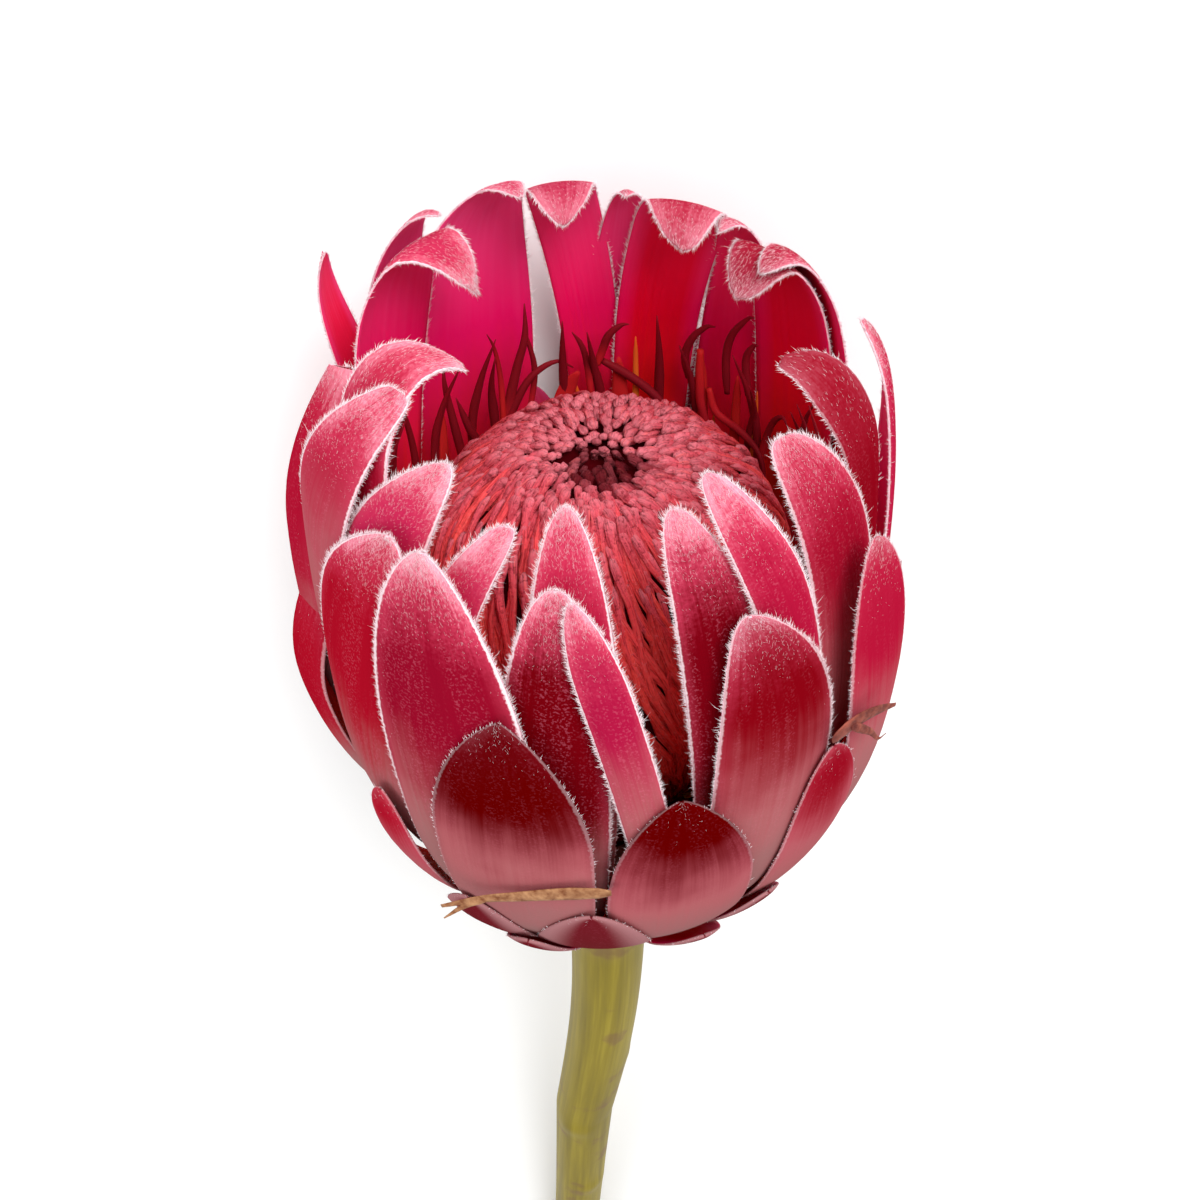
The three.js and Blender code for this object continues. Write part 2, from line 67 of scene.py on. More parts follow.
# Bracts that the photograph shows, in degrees, millimetres and shares from 0 to 1:
#   az, half     azimuth and half-width
#   reach, out   where the tip ends along the cup's section, and the distance outside it
#   lean, hook   how far the blade turns aside along its length, and its tip alone
#   wide, point  where along it the blade is widest, and how pointed its tip is
#   deep, pink   how dark and how magenta the skin is
#   dust, tip   how far up the dusty zone with its painted sheen reaches, and how pale and woolly the tip and hem are
#   roll, tuck   how far one edge is turned out, and how far both are bent in
#   flare, curl  how far the upper part is bent out, and the tip bent in
BRACT_COLUMNS = "az half reach out lean hook wide point deep pink dust tip".split()
SHOWN_BRACTS = [
    (-6.4, 4.8, 80, 1.3, 0.9, -2, 0.64, 0.53, 0.15, 0.6, 0.5, 1),
    (-37.1, 3.5, 78, 2.5, 2.4, 17.2, 0.6, 0.35, 0, 0.9, 0.5, 1),
    (-9.6, 5.9, 73.2, 3.7, 1.3, 0, 0.59, 0.47, 0.9, 0.1, 0.5, 1),
    (14.1, 2.6, 72.8, 4.9, -19.5, 0, 0.85, 0.6, 0.4, 0.8, 0.7, 1),
    (-22.5, 9, 74.6, 4.9, -10.4, 2, 0.68, 0.64, 0.65, 0.4, 0.6, 1),
    (-15.7, 9, 58.8, 6.2, -1.3, 0.3, 0.68, 0.79, 1, 0, 0.7, 0.05),
    (15.7, 8.4, 49, 6.2, -3.6, 0, 0.65, 0.71, 1, 0, 0.74, 0),
    (27.5, 4.8, 79.8, 2.2, -6.3, -9, 0.65, 0.46, 0.85, 0.15, 0.48, 0.9),
    (39.2, 3.2, 82.3, 3.4, -2.1, -18.7, 0.85, 0.45, 0.3, 0.5, 0.62, 0.9),
    (55.3, 5.5, 83, 2, 0.3, -18.5, 0.72, 0.35, 0.5, 0.3, 0.7, 0.6),
    (27.4, 7.4, 69.4, 4.8, 10.2, -14.3, 0.68, 0.58, 0.75, 0.05, 0.68, 0.4),
    (-59.2, 7, 81.4, 1.5, 5.1, 21.8, 0.63, 0.53, 0, 0.9, 0.75, 1),
    (-61.3, 9.8, 73.5, 3.5, 12, 8.8, 0.68, 0.65, 0.3, 0.1, 0.56, 1),
    (-86.3, 6.3, 84.7, 3.2, 20.8, 18.6, 0.57, 0.45, 0.2, 0.4, 0.82, 1, dict(roll=-1)),
    (-74.1, 6.2, 89.5, -0.8, 19.7, 1.9, 0.59, 0.35, 0.4, 0.3, 0.6, 0.8, dict(flare=3.6)),
    (-94, 7.6, 76, 7, 0, 0, 0.64, 0.55, 0.3, 0.3, 0.6, 0.5, dict(roll=-1, tuck=2.6, flare=-2.2, curl=3.2)),
    (-115.2, 3.6, 79.8, 2, -7.5, 7.3, 0.6, 0.6, 0.4, 0.2, 0.6, 0.6, dict(flare=6.4)),
    (-114.3, 7.5, 92.7, 0, -1.3, -10.1, 0.8, 1, 0.3, 0.8, 0.6, 0.8, dict(flare=1.4)),
    (-128, 7, 86.2, 3.5, 0, 0, 0.58, 0.6, 0.4, 0.9, 0.6, 0.6),
    (-147, 10, 87, 2.2, 7.3, -13.7, 0.67, 0.65, 0.4, 0.9, 0.6, 0.6, dict(flare=1.4)),
    (179, 3.9, 89.2, 0.5, 6.3, 9.6, 0.95, 0.69, 0.6, 0.7, 0.6, 0.45, dict(flare=2.3)),
    (177, 5.5, 86.3, 1.6, -3, 0, 0.58, 0.6, 0.5, 0.8, 0.6, 0.6),
    (167.9, 5.3, 90.6, -0.3, 3.3, -19.4, 0.89, 0.58, 0.6, 0.15, 0.6, 0.5, dict(flare=1.6)),
    (147, 6.4, 87.6, 0.5, -4, 0, 0.58, 0.65, 0.5, 0.5, 0.6, 0.6),
    (124.8, 7, 93.7, -0.75, -1.6, 6.8, 0.69, 0.55, 0.6, 0.2, 0.6, 0.5, dict(flare=-0.4)),
    (113, 6.6, 89.6, 0.1, 9, 0, 0.7, 0.65, 0.6, 0.2, 0.6, 0.6),
    (91, 7.5, 84.3, 2.2, -8, 0, 0.58, 0.6, 0.3, 0.6, 0.6, 0.4),
    (75.1, 3.6, 87, 1, -15.2, -7.6, 0.95, 0.35, 0.7, 0.1, 0.6, 0.15, dict(flare=1.6)),
    (66, 7.5, 71.3, 5.5, -16, 0, 0.58, 0.6, 0.3, 0.4, 0.68, 0.2),
    (46.5, 6.5, 47.5, 5.8, -4, 0, 0.58, 0.6, 0.6, 0.1, 0.78, 0.1),
    (-88, 7.4, 49, 8.6, 0, 0, 0.72, 0.5, 0.3, 0.1, 0.55, 0.2, dict(roll=-1.6, tuck=2, flare=-1.4, curl=2.4)),
    (-47, 5.2, 37.5, 5.6, 0, 0, 0.58, 0.6, 0.3, 0.1, 0.82, 0.1, dict(flare=-0.6)),
]
# Low and hidden bracts: the one that the flower lies on, then rows with half, reach, out and azimuths.
BELLY_BRACT = dict(az=180, half=8.8, reach=54, out=6.3)
BRACT_ROWS = [
    (6.4, 72, 2.8, [173, 147, 121]),
    (6.8, 62, 4.3, [160, 134, 106]),
    (6.8, 62, 4.6, [-115, -138]),
    (6.8, 54, 4.3, [-163]),
    (7.2, 52, 6, [152, 122, -128, -154]),
    (7.2, 37.5, 7.4, [-113]),
    (7.2, 48, 5.5, [95]),
    (6, 29.5, 7, [-26]),
    (7, 30, 7, [-3]),
    (5.6, 24, 6.8, [37]),
    (5, 21.5, 7.9, [21, -16]),
    (5.6, 21, 6.3, [76]),
    (6, 25, 7.1, [118, 160, -158, -132]),
]
SCATTER = 1
# What a row leaves out.
COMMON_BRACT = dict(lean=0, hook=0, wide=0.58, point=0.6, roll=0, tuck=0.25, flare=0, curl=0)
BRACT_ROOT_WIDTH = 0.36
FLARE_FROM, CURL_FROM, ROLL_GROWTH = 0.72, 0.76, 2.5
LEAN_POWER, HOOK_POWER, BRACT_END_POWER = 2, 6, 2.0
ROOT_START = 0.4
RING_START, RING_END, RING_DEPTH, RING_CORNER = -1, 8.2, 3.2, 0.12


def steps_along(line):
    return np.linalg.norm(np.diff(line, axis=0), axis=1)


def summed(steps):
    return np.concatenate([[0], np.cumsum(steps)])


def turns(count):
    """Angles evenly round a circle."""
    return np.arange(count) * 2 * pi / count


def read_line(line, lengths, at):
    """Points of a line at lengths along it."""
    return np.stack([np.interp(at, lengths, line[:, k]) for k in range(3)], -1)


class SectionLine:
    """A smooth line in the plane of radius and height, read by the length along it."""

    SAMPLES = 6000
    LEAST_STEP = 1e-9

    def __init__(self, points):
        knots = np.array(points, float)
        last = len(knots) - 1
        t = np.linspace(0, last, self.SAMPLES)
        i = np.minimum(t.astype(int), last - 1)
        w = (t - i)[:, None]
        a, b = knots[np.maximum(i - 1, 0)], knots[i]
        c, d = knots[i + 1], knots[np.minimum(i + 2, last)]
        start, end = (c - a) / 2, (d - b) / 2
        self.line = (
            (2 * b - 2 * c + start + end) * w**3
            + (-3 * b + 3 * c - 2 * start - end) * w**2 + start * w + b
        )
        self.lengths = summed(steps_along(self.line))
        self.total = self.lengths[-1]
        slope = np.gradient(self.line, self.lengths + np.arange(len(t)) * self.LEAST_STEP, axis=0)
        self.slope = slope / np.linalg.norm(slope, axis=1, keepdims=True)

    def read(self, table, length):
        return np.interp(np.clip(length, 0, self.total), self.lengths, table)

    def radius(self, length):
        return self.read(self.line[:, 0], length)

    def beside(self, length, out, azimuth):
        """Points at lengths along the line, `out` to its right, turned to azimuths."""
        across, up = (self.read(self.slope[:, k], length) for k in (0, 1))
        r = self.radius(length) + up * out
        h = self.read(self.line[:, 1], length) - across * out
        return np.stack(np.broadcast_arrays(r * np.sin(azimuth), -r * np.cos(azimuth), h), -1)


def smoothstep(x, low, high):
    """0 up to low, 1 from high on, and a smooth rise between."""
    t = np.clip((x - low) / (high - low), 0, 1)
    return t * t * (3 - 2 * t)


def unit(vectors):
    return vectors / np.maximum(np.linalg.norm(vectors, axis=-1, keepdims=True), 1e-12)


class Draws:
    """The same series of random numbers as in the solids."""

    FACTOR, MODULUS = 16807, 2147483647

    def __init__(self, seed):
        self.seed = seed

    def scatter(self, amount):
        """The next number, between -amount and amount."""
        self.seed = (self.seed * self.FACTOR) % self.MODULUS
        return (2 * self.seed / self.MODULUS - 1) * amount


SAME_HEIGHT = 1e-6


def lay_down():
    """Turn and shift from the flower's frame, in millimetres, to the world, in metres."""
    turn = Matrix.Rotation(pi, 3, "Z") @ Matrix.Rotation(radians(MOUTH_LIFT - 90), 3, "X")
    back = turn.inverted()
    corners = [back @ v.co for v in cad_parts["stem"].data.vertices]
    top = max(c.z for c in corners)
    seat = [c for c in corners if c.z > top - SAME_HEIGHT]
    middle = sum(seat, Vector()) / len(seat)
    return turn, turn @ (middle - Vector((0, 0, SEAT_HEIGHT * MM)))


TURN, SHIFT = lay_down()
TURN_ARRAY = np.array(TURN)


def to_world(points):
    """The world's place of points, with what would sink into the surface flattened on it."""
    placed = points @ TURN_ARRAY.T * MM + np.array(SHIFT)
    placed[:, 2] = np.maximum(placed[:, 2], 0)
    return placed


def linked(name, data):
    made = bpy.data.objects.new(name, data)
    bpy.context.collection.objects.link(made)
    return made


def make_piece(name, points, faces, materials, replaced, uvs=None, face_materials=None):
    """A mesh object from points in the flower's frame and faces with the same corner count."""
    mesh = bpy.data.meshes.new(name)
    count, corners = faces.shape
    mesh.vertices.add(len(points))
    mesh.vertices.foreach_set("co", to_world(points).ravel())
    mesh.loops.add(count * corners)
    mesh.loops.foreach_set("vertex_index", faces.ravel())
    mesh.polygons.add(count)
    mesh.polygons.foreach_set("loop_start", np.arange(count) * corners)
    mesh.polygons.foreach_set("loop_total", np.full(count, corners))
    for uv_name, values in (uvs or {}).items():
        layer = mesh.uv_layers.new(name=uv_name)
        layer.data.foreach_set("uv", values.astype(np.float32).ravel())
    for material in materials:
        mesh.materials.append(material)
    if face_materials is not None:
        mesh.polygons.foreach_set("material_index", face_materials)
    mesh.update(calc_edges=True)
    mesh.polygons.foreach_set("use_smooth", np.ones(count, bool))
    piece = linked(name, mesh)
    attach(piece, "root")
    if replaced:
        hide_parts(replaced)


def grid_faces(rows, columns, closed=False):
    """Quads of a grid of points; a closed grid joins its last column to its first."""
    across = columns if closed else columns - 1
    i, j = np.meshgrid(np.arange(rows - 1), np.arange(across), indexing="ij")
    here, above, after = i * columns, (i + 1) * columns, (j + 1) % columns
    return np.stack([here + j, here + after, above + after, above + j], -1).reshape(-1, 4)


def tube_faces(rows, sides):
    """Triangles of a closed grid."""
    quads = grid_faces(rows, sides, closed=True)
    return np.concatenate([quads[:, [0, 1, 2]], quads[:, [0, 2, 3]]])


# Materials

class Shader:
    """A procedural material: a Principled shader and short calls for the nodes before it."""

    def __init__(self, name, roughness, specular):
        self.material = bpy.data.materials.new(name)
        self.material.use_nodes = True
        self.tree = self.material.node_tree
        self.base = self.tree.nodes["Principled BSDF"]
        self.set(self.base, "Roughness", roughness)
        self.set(self.base, "Specular IOR Level", specular)

    def set(self, node, socket, value):
        target = node.inputs[socket]
        if isinstance(value, bpy.types.NodeSocket):
            self.tree.links.new(value, target)
        else:
            target.default_value = value

    def add(self, kind, settings=None, **inputs):
        """A new node's first output. Inputs go by name, or as i and a number."""
        node = self.tree.nodes.new("ShaderNode" + kind)
        for key, value in (settings or {}).items():
            setattr(node, key, value)
        for key, value in inputs.items():
            self.set(node, int(key[1:]) if key[1:].isdigit() else key, value)
        return node.outputs[0]

    def math(self, operation, a, b=0.0, c=0.0):
        return self.add("Math", dict(operation=operation), i0=a, i1=b, i2=c)

    def times(self, a, b):
        return self.math("MULTIPLY", a, b)

    def scaled(self, value, factor, start):
        return self.math("MULTIPLY_ADD", value, factor, start)

    def jitter(self, value, noise, amount):
        """The value moved up and down by noise, which lies about 0.5."""
        return self.scaled(self.math("SUBTRACT", noise, 0.5), amount, value)

    def from_middle(self, across):
        """0 on a blade's middle line and 1 at its edges."""
        return self.math("ABSOLUTE", self.scaled(across, 2.0, -1.0))

    def steps(self, value, low, high):
        """0 up to low, 1 from high on; the other way round where low is the larger."""
        return self.add("MapRange", dict(interpolation_type="SMOOTHSTEP"),
                        i0=value, i1=low, i2=high, i3=0.0, i4=1.0)

    def uv(self, name):
        """Both values of a UV map."""
        return self.add("SeparateXYZ", i0=self.add("UVMap", dict(uv_map=name))).node.outputs[:2]

    def noise(self, vector, scale, detail=3.0, roughness=0.55):
        return self.add("TexNoise", Vector=vector, Scale=scale, Detail=detail, Roughness=roughness)

    def stretched(self, *axes, detail=3.0, roughness=0.55):
        """Noise that runs over two or three values, each given with its number of waves."""
        scaled = {f"i{k}": self.times(value, waves) for k, (value, waves) in enumerate(axes)}
        return self.noise(self.add("CombineXYZ", **scaled), 1.0, detail, roughness)

    def place(self):
        return self.add("TexCoord").node.outputs["Object"]

    def ramp(self, value, *stops):
        """Colours between stops, which are a place and then red, green and blue, from 0 to 255."""
        output = self.add("ValToRGB", i0=value)
        elements = output.node.color_ramp.elements
        while len(elements) < len(stops):
            elements.new(0.5)
        for element, (at, *rgb) in zip(elements, stops):
            element.position = at
            element.color = srgb(*rgb)
        return output

    def mix(self, share, a, b):
        return self.add("Mix", dict(data_type="RGBA"), i0=share, i6=a, i7=b).node.outputs[2]

    def paint(self, share, *rgb):
        """Covers a share of the skin so far with a colour."""
        self.skin = self.mix(share, self.skin, srgb(*rgb))

    def bump(self, height, strength, distance):
        self.set(self.base, "Normal", self.add("Bump", Height=height, Strength=strength, Distance=distance))

    def colour(self, value):
        self.set(self.base, "Base Color", value)
        return self.material


def srgb(*values):
    """A linear colour from the 0 to 255 values that a picture shows."""
    shares = (v / 255 for v in values)
    return (*(v / 12.92 if v < 0.0404 else ((v + 0.055) / 1.055) ** 2.4 for v in shares), 1)


def outer_bract_material():
    """Painted shade at the root, then dusty rose that is partly painted sheen, crimson higher up, woolly at
    the tip, with a white hem.
    """
    s = Shader("bract_outer", roughness=0.6, specular=0.0)
    across, along = s.uv("Blade")
    deep, pink = s.uv("Tone")
    dust, tip = s.uv("Zone")
    streaks = s.stretched((across, 24), (along, 2.2), (deep, 40), detail=4.0, roughness=0.6)
    blotches = s.noise(s.place(), 130.0, 2.0)
    wool = s.noise(s.place(), 2400.0, 3.0, 0.6)
    edge = s.from_middle(across)
    near_edge = s.steps(edge, 0.3, 1.0)
    shifted = s.jitter(s.jitter(along, streaks, 0.12), blotches, 0.14)
    # Along the blade: dark at the root, painted shade where the blade lies under others, then dusty rose,
    # partly the skin's own colour and partly painted sheen.
    s.skin = s.ramp(
        shifted, (0.0, 52, 26, 24), (0.14, 90, 60, 58), (0.34, 142, 106, 104), (0.6, 166, 92, 96),
        (0.9, 180, 70, 88),
    )
    crimson = s.mix(deep, srgb(178, 12, 32), srgb(88, 0, 0))
    magenta = s.mix(deep, srgb(186, 32, 80), srgb(116, 0, 28))
    lowered = s.scaled(near_edge, -0.04, shifted)
    above_dust_and_sheen = s.steps(s.math("SUBTRACT", lowered, dust), -0.14, 0.12)
    s.skin = s.mix(above_dust_and_sheen, s.skin, s.mix(pink, crimson, magenta))
    raised = s.jitter(s.scaled(near_edge, 0.04, shifted), wool, 0.1)
    s.paint(s.times(s.steps(raised, 0.85, 1.01), tip), 200, 60, 90)
    s.paint(s.times(s.steps(raised, 0.94, 1.07), tip), 244, 172, 190)
    # A paler margin, and on it the hem, frayed by the wool and narrower lower down.
    grown = s.steps(along, 0.35, 0.75)
    margin = s.times(s.steps(edge, 0.7, 1.0), s.times(grown, tip))
    s.paint(s.times(margin, 0.3), 206, 70, 98)
    frayed = s.scaled(s.steps(along, 0.9, 0.5), -0.02, s.jitter(edge, wool, 0.08))
    hem = s.times(s.steps(frayed, 0.94, 0.975), grown)
    hem = s.times(hem, s.scaled(tip, 0.8, 0.1))
    s.paint(hem, 255, 236, 241)
    # The low scales, which are dusty all over: dark crimson, partly their own colour and partly painted
    # shade at the base, with dusty edges, partly painted highlight.
    scale = s.mix(s.steps(edge, 0.3, 0.95), srgb(92, 14, 20), srgb(158, 112, 114))
    s.skin = s.mix(s.times(s.steps(dust, 1.1, 1.3), 0.9), s.skin, scale)
    # Fine pale specks, in patches.
    specks = s.noise(s.place(), 3600.0, 2.0, 0.5)
    patches = s.stretched((across, 9), (along, 3), (dust, 70), detail=2.0)
    specks = s.times(s.steps(specks, 0.52, 0.64), s.steps(patches, 0.38, 0.6))
    specks = s.times(specks, s.scaled(tip, 0.75, 0.25))
    s.paint(s.times(specks, 0.2), 214, 110, 134)
    s.bump(s.scaled(wool, 0.5, streaks), 0.25, 0.0004)
    return s.colour(s.skin)


def inner_bract_material():
    """The smooth inside: orange-red below, crimson above, magenta pink at the edges and tip, partly its own
    colour and partly painted glow of light shining through.
    """
    s = Shader("bract_inner", roughness=0.45, specular=0.02)
    across, along = s.uv("Blade")
    deep, pink = s.uv("Tone")
    veins = s.stretched((across, 16), (along, 1.4), (deep, 60), roughness=0.5)
    shifted = s.jitter(along, veins, 0.12)
    # Both ramps turn pinker towards the tip: partly the skin's own colour, partly painted glow of light
    # shining through.
    red = s.ramp(
        shifted, (0.0, 180, 84, 20), (0.35, 246, 70, 16), (0.55, 242, 26, 10), (0.74, 222, 0, 10),
        (0.9, 226, 8, 44), (1.0, 230, 60, 98),
    )
    magenta = s.ramp(
        shifted, (0.0, 180, 84, 20), (0.35, 250, 66, 32), (0.55, 244, 30, 62), (0.76, 232, 22, 110),
        (1.0, 240, 84, 150),
    )
    # Magenta pink towards the edges: partly the skin's own colour, partly painted glow of light shining
    # through.
    blush_and_glow = s.times(s.steps(s.from_middle(across), 0.3, 1.0), 0.6)
    s.skin = s.mix(s.math("MAXIMUM", s.times(pink, 0.9), blush_and_glow), red, magenta)
    s.bump(veins, 0.15, 0.0003)
    return s.colour(s.skin)


def plain_material(name, colour, **values):
    """One colour all over, for the floor and for what is finer than a pattern."""
    return Shader(name, **values).colour(colour)


def floret_material():
    """Closed florets: dusty pink at the tip, coral red along, dark red towards the root, partly their own
    colour and partly painted shade at the dome's foot, then yellow at the root.

    The tone is a floret's own, from 0 to 1, and more than that where painted shade falls in the hollow of
    the crown.
    """
    s = Shader("closed_floret", roughness=0.7, specular=0.0)
    tone, back = s.uv("Floret")
    around, mm = s.uv("Fibre")
    fibres = s.stretched((around, 16), (mm, 0.4), (tone, 50), detail=4.0, roughness=0.6)
    shifted = s.jitter(back, fibres, 0.05)
    # Dark red from 0.76 to 0.88: partly the florets' own colour, partly painted shade at the dome's foot.
    s.skin = s.ramp(
        shifted, (0.0, 236, 134, 146), (0.03, 230, 96, 112), (0.1, 246, 84, 92), (0.3, 255, 92, 88),
        (0.6, 236, 66, 58), (0.76, 130, 14, 10), (0.88, 80, 14, 4), (1.0, 140, 84, 20),
    )
    wool = s.noise(s.place(), 1900.0, 3.0, 0.65)
    crown = s.math("SUBTRACT", 1.0, s.steps(back, 0.04, 0.14))
    s.paint(s.times(tone, 0.32), 122, 14, 30)
    # Streaks along the fine hairs: the dark ones are painted shade in the gaps between them, the light ones
    # painted highlight.
    s.paint(s.times(s.steps(fibres, 0.5, 0.36), 0.45), 116, 8, 14)
    s.paint(s.times(s.steps(fibres, 0.54, 0.66), 0.45), 240, 118, 112)
    # Painted shade in the pits between the florets, deeper in the crown.
    pit_shade = s.times(s.steps(wool, 0.48, 0.32), s.scaled(crown, 0.5, 0.08))
    s.paint(pit_shade, 96, 6, 16)
    s.paint(s.times(s.steps(wool, 0.56, 0.72), 0.35), 244, 136, 144)
    # Painted shade in the crown's hollow, where the tone is above 1.
    s.paint(s.times(s.steps(tone, 0.9, 2.2), 0.8), 76, 5, 13)
    s.bump(s.scaled(wool, 0.8, fibres), 0.8, 0.0006)
    return s.colour(s.skin)


def open_floret_material():
    """Open florets: yellow-orange at the root, red sheath, dark maroon head."""
    s = Shader("open_floret", roughness=0.5, specular=0.05)
    tone, along = s.uv("Floret")
    around, mm = s.uv("Fibre")
    fibres = s.stretched((around, 5), (mm, 0.4), (tone, 50))
    shifted = s.jitter(along, fibres, 0.1)
    s.skin = s.ramp(
        shifted, (0.0, 190, 130, 40), (0.3, 214, 96, 34), (0.5, 190, 36, 30), (0.66, 176, 26, 36),
        (0.78, 116, 16, 26), (1.0, 124, 18, 32),
    )
    s.bump(fibres, 0.3, 0.0003)
    return s.colour(s.skin)


def stem_material():
    """Olive skin with fine ribs, greyer and pinker under the head, with purple-brown patches."""
    s = Shader("stem_skin", roughness=0.5, specular=0.2)
    around, down = s.uv("Stem")
    ribs = s.stretched((around, 26), (down, 5))
    blotches = s.noise(s.place(), 120.0, 3.0)
    s.skin = s.ramp(ribs, (0.3, 112, 97, 10), (0.55, 130, 114, 14), (0.75, 148, 132, 30))
    near = s.math("SUBTRACT", 1.0, s.steps(down, 0.03, 0.16))
    s.paint(s.times(near, 0.7), 172, 150, 116)
    s.paint(s.times(s.steps(blotches, 0.58, 0.7), 0.5), 104, 66, 46)
    s.bump(s.math("ADD", ribs, blotches), 0.15, 0.0003)
    return s.colour(s.skin)


def wood_material(name, dark, light, scale):
    """Rough and dry, mottled between two colours."""
    s = Shader(name, roughness=0.65, specular=0.25)
    grain = s.noise(s.place(), scale, 4.0, 0.6)
    s.bump(grain, 0.5, 0.0004)
    return s.colour(s.ramp(grain, (0.3, *dark), (0.7, *light)))


OUTER = outer_bract_material()
INNER = inner_bract_material()
RIM = plain_material("bract_rim", srgb(250, 200, 212), roughness=0.7, specular=0.0)
HAIR = plain_material("bract_hair", srgb(255, 240, 244), roughness=0.7, specular=0.1)
FLORET = floret_material()
# Dark, for what lies beneath the florets: painted shade that shows in the gaps between them.
CORE = plain_material("floret_core", srgb(70, 4, 10), roughness=0.9, specular=0.0)
OPEN = open_floret_material()
STEM_SKIN = stem_material()
RING_SKIN = wood_material("root_ring", (70, 36, 30), (128, 78, 66), 500.0)
TAN = wood_material("dry_tan", (112, 60, 28), (180, 132, 92), 900.0)
BROWN = wood_material("dry_brown", (84, 26, 20), (150, 76, 60), 900.0)


# Bracts

CUP_LINE = SectionLine(CUP)
# A bract with a shorter reach than these is a low one, nearly bald, or a scale at the base.
LOW_REACH, SCALE_REACH = 62, 40
BLADE_ROWS, SCALE_ROWS, BLADE_COLUMNS = 46, 24, 17
BLADE_GATHER = 1.7
HALF_THICKNESS, EDGE_THICKNESS = 0.36, 0.1
THIN_FROM, THINNED = 0.7, 0.6
TIP_WIDTH = 0.03
PALE_RIM_FROM = 0.25
# Layout of the OFBake map, without overlaps: outside at the left, inside at the right, rim between.
BAKE_MARGIN, BAKE_WIDTH, BAKE_HEIGHT, BAKE_INSIDE = 0.02, 0.44, 0.96, 0.5
BAKE_RIM, BAKE_RIM_ENDS = (0.475, 0.495), (0.01, 0.99)


def list_bracts(draws):
    """All bracts; what the photograph doesn't show is drawn at random."""
    bracts = [dict(zip(BRACT_COLUMNS, row), **dict(*row[len(BRACT_COLUMNS):])) for row in SHOWN_BRACTS]
    bracts.append(BELLY_BRACT)
    for half, reach, out, azimuths in BRACT_ROWS:
        for az in azimuths:
            az += draws.scatter(SCATTER)
            bracts.append(dict(az=az, half=half, reach=reach + draws.scatter(SCATTER), out=out))
    random = np.random.default_rng(5)
    whole = []
    for bract in bracts:
        guess = dict(deep=random.uniform(0.3, 0.9), pink=random.uniform(0, 0.6), dust=0.6,
                     tip=0.7 if bract["reach"] > LOW_REACH else 0.15)
        if bract["reach"] < SCALE_REACH:
            guess.update(deep=0.5, pink=0, dust=1.4, tip=0)
        whole.append(SimpleNamespace(**{**COMMON_BRACT, **guess, **bract}))
    return whole


def blade_half(bract, u):
    """Half the width at u: it grows from the root to the widest place and rounds off to the tip."""
    growth = np.sin(np.minimum(u / bract.wide, 1) * pi / 2)
    q = np.clip((u - bract.wide) / (1 - bract.wide), 0, 1)
    below = BRACT_ROOT_WIDTH + (1 - BRACT_ROOT_WIDTH) * growth
    above = np.maximum(TIP_WIDTH, (1 - q**BRACT_END_POWER) ** bract.point)
    return bract.half * np.where(u < bract.wide, below, above)


def bract_surface(bract, u, v, lift=0.0):
    """Points of a bract: u from root to tip, v from edge to edge, lifted off its middle layer."""
    out = (
        bract.out + bract.roll * v * np.minimum(1, ROLL_GROWTH * u)
        + bract.flare * smoothstep(u, FLARE_FROM, 1)
        - bract.curl * (np.maximum(0, u - CURL_FROM) / (1 - CURL_FROM)) ** 2
        - bract.tuck * v**2 + lift
    )
    length = ROOT_START + (bract.reach - ROOT_START) * u
    radius = CUP_LINE.radius(length) + bract.out
    turn = np.radians(bract.az + bract.lean * u**LEAN_POWER + bract.hook * u**HOOK_POWER)
    return CUP_LINE.beside(length, out, turn + v * blade_half(bract, u) / radius)


def half_thickness(u, v):
    """Thin at the edges and thinner towards the tip."""
    body = (1 - np.abs(v) ** 3) * (1 - smoothstep(u, THIN_FROM, 1) * THINNED)
    return EDGE_THICKNESS + (HALF_THICKNESS - EDGE_THICKNESS) * body


def border(rows, columns):
    """Indices of a grid's outer points, once round."""
    return np.concatenate([
        np.arange(rows) * columns,
        (rows - 1) * columns + np.arange(1, columns),
        np.arange(rows - 2, -1, -1) * columns + columns - 1,
        np.arange(columns - 2, 0, -1),
    ])


def bake_layout(blade, faces, rim_count):
    """The layout of a blade whose last faces are its rim."""
    spots = np.stack([BAKE_MARGIN + BAKE_WIDTH * blade[:, 0], BAKE_MARGIN + BAKE_HEIGHT * blade[:, 1]], -1)
    spots[len(blade) // 2:, 0] += BAKE_INSIDE
    layout = spots[faces.ravel()].reshape(-1, 4, 2)
    (left, right), ends = BAKE_RIM, np.linspace(*BAKE_RIM_ENDS, rim_count + 1)
    rim = layout[len(faces) - rim_count:]
    rim[:, :2, 0], rim[:, 2:, 0] = left, right
    rim[:, 0, 1] = rim[:, 3, 1] = ends[:-1]
    rim[:, 1, 1] = rim[:, 2, 1] = ends[1:]
    return layout


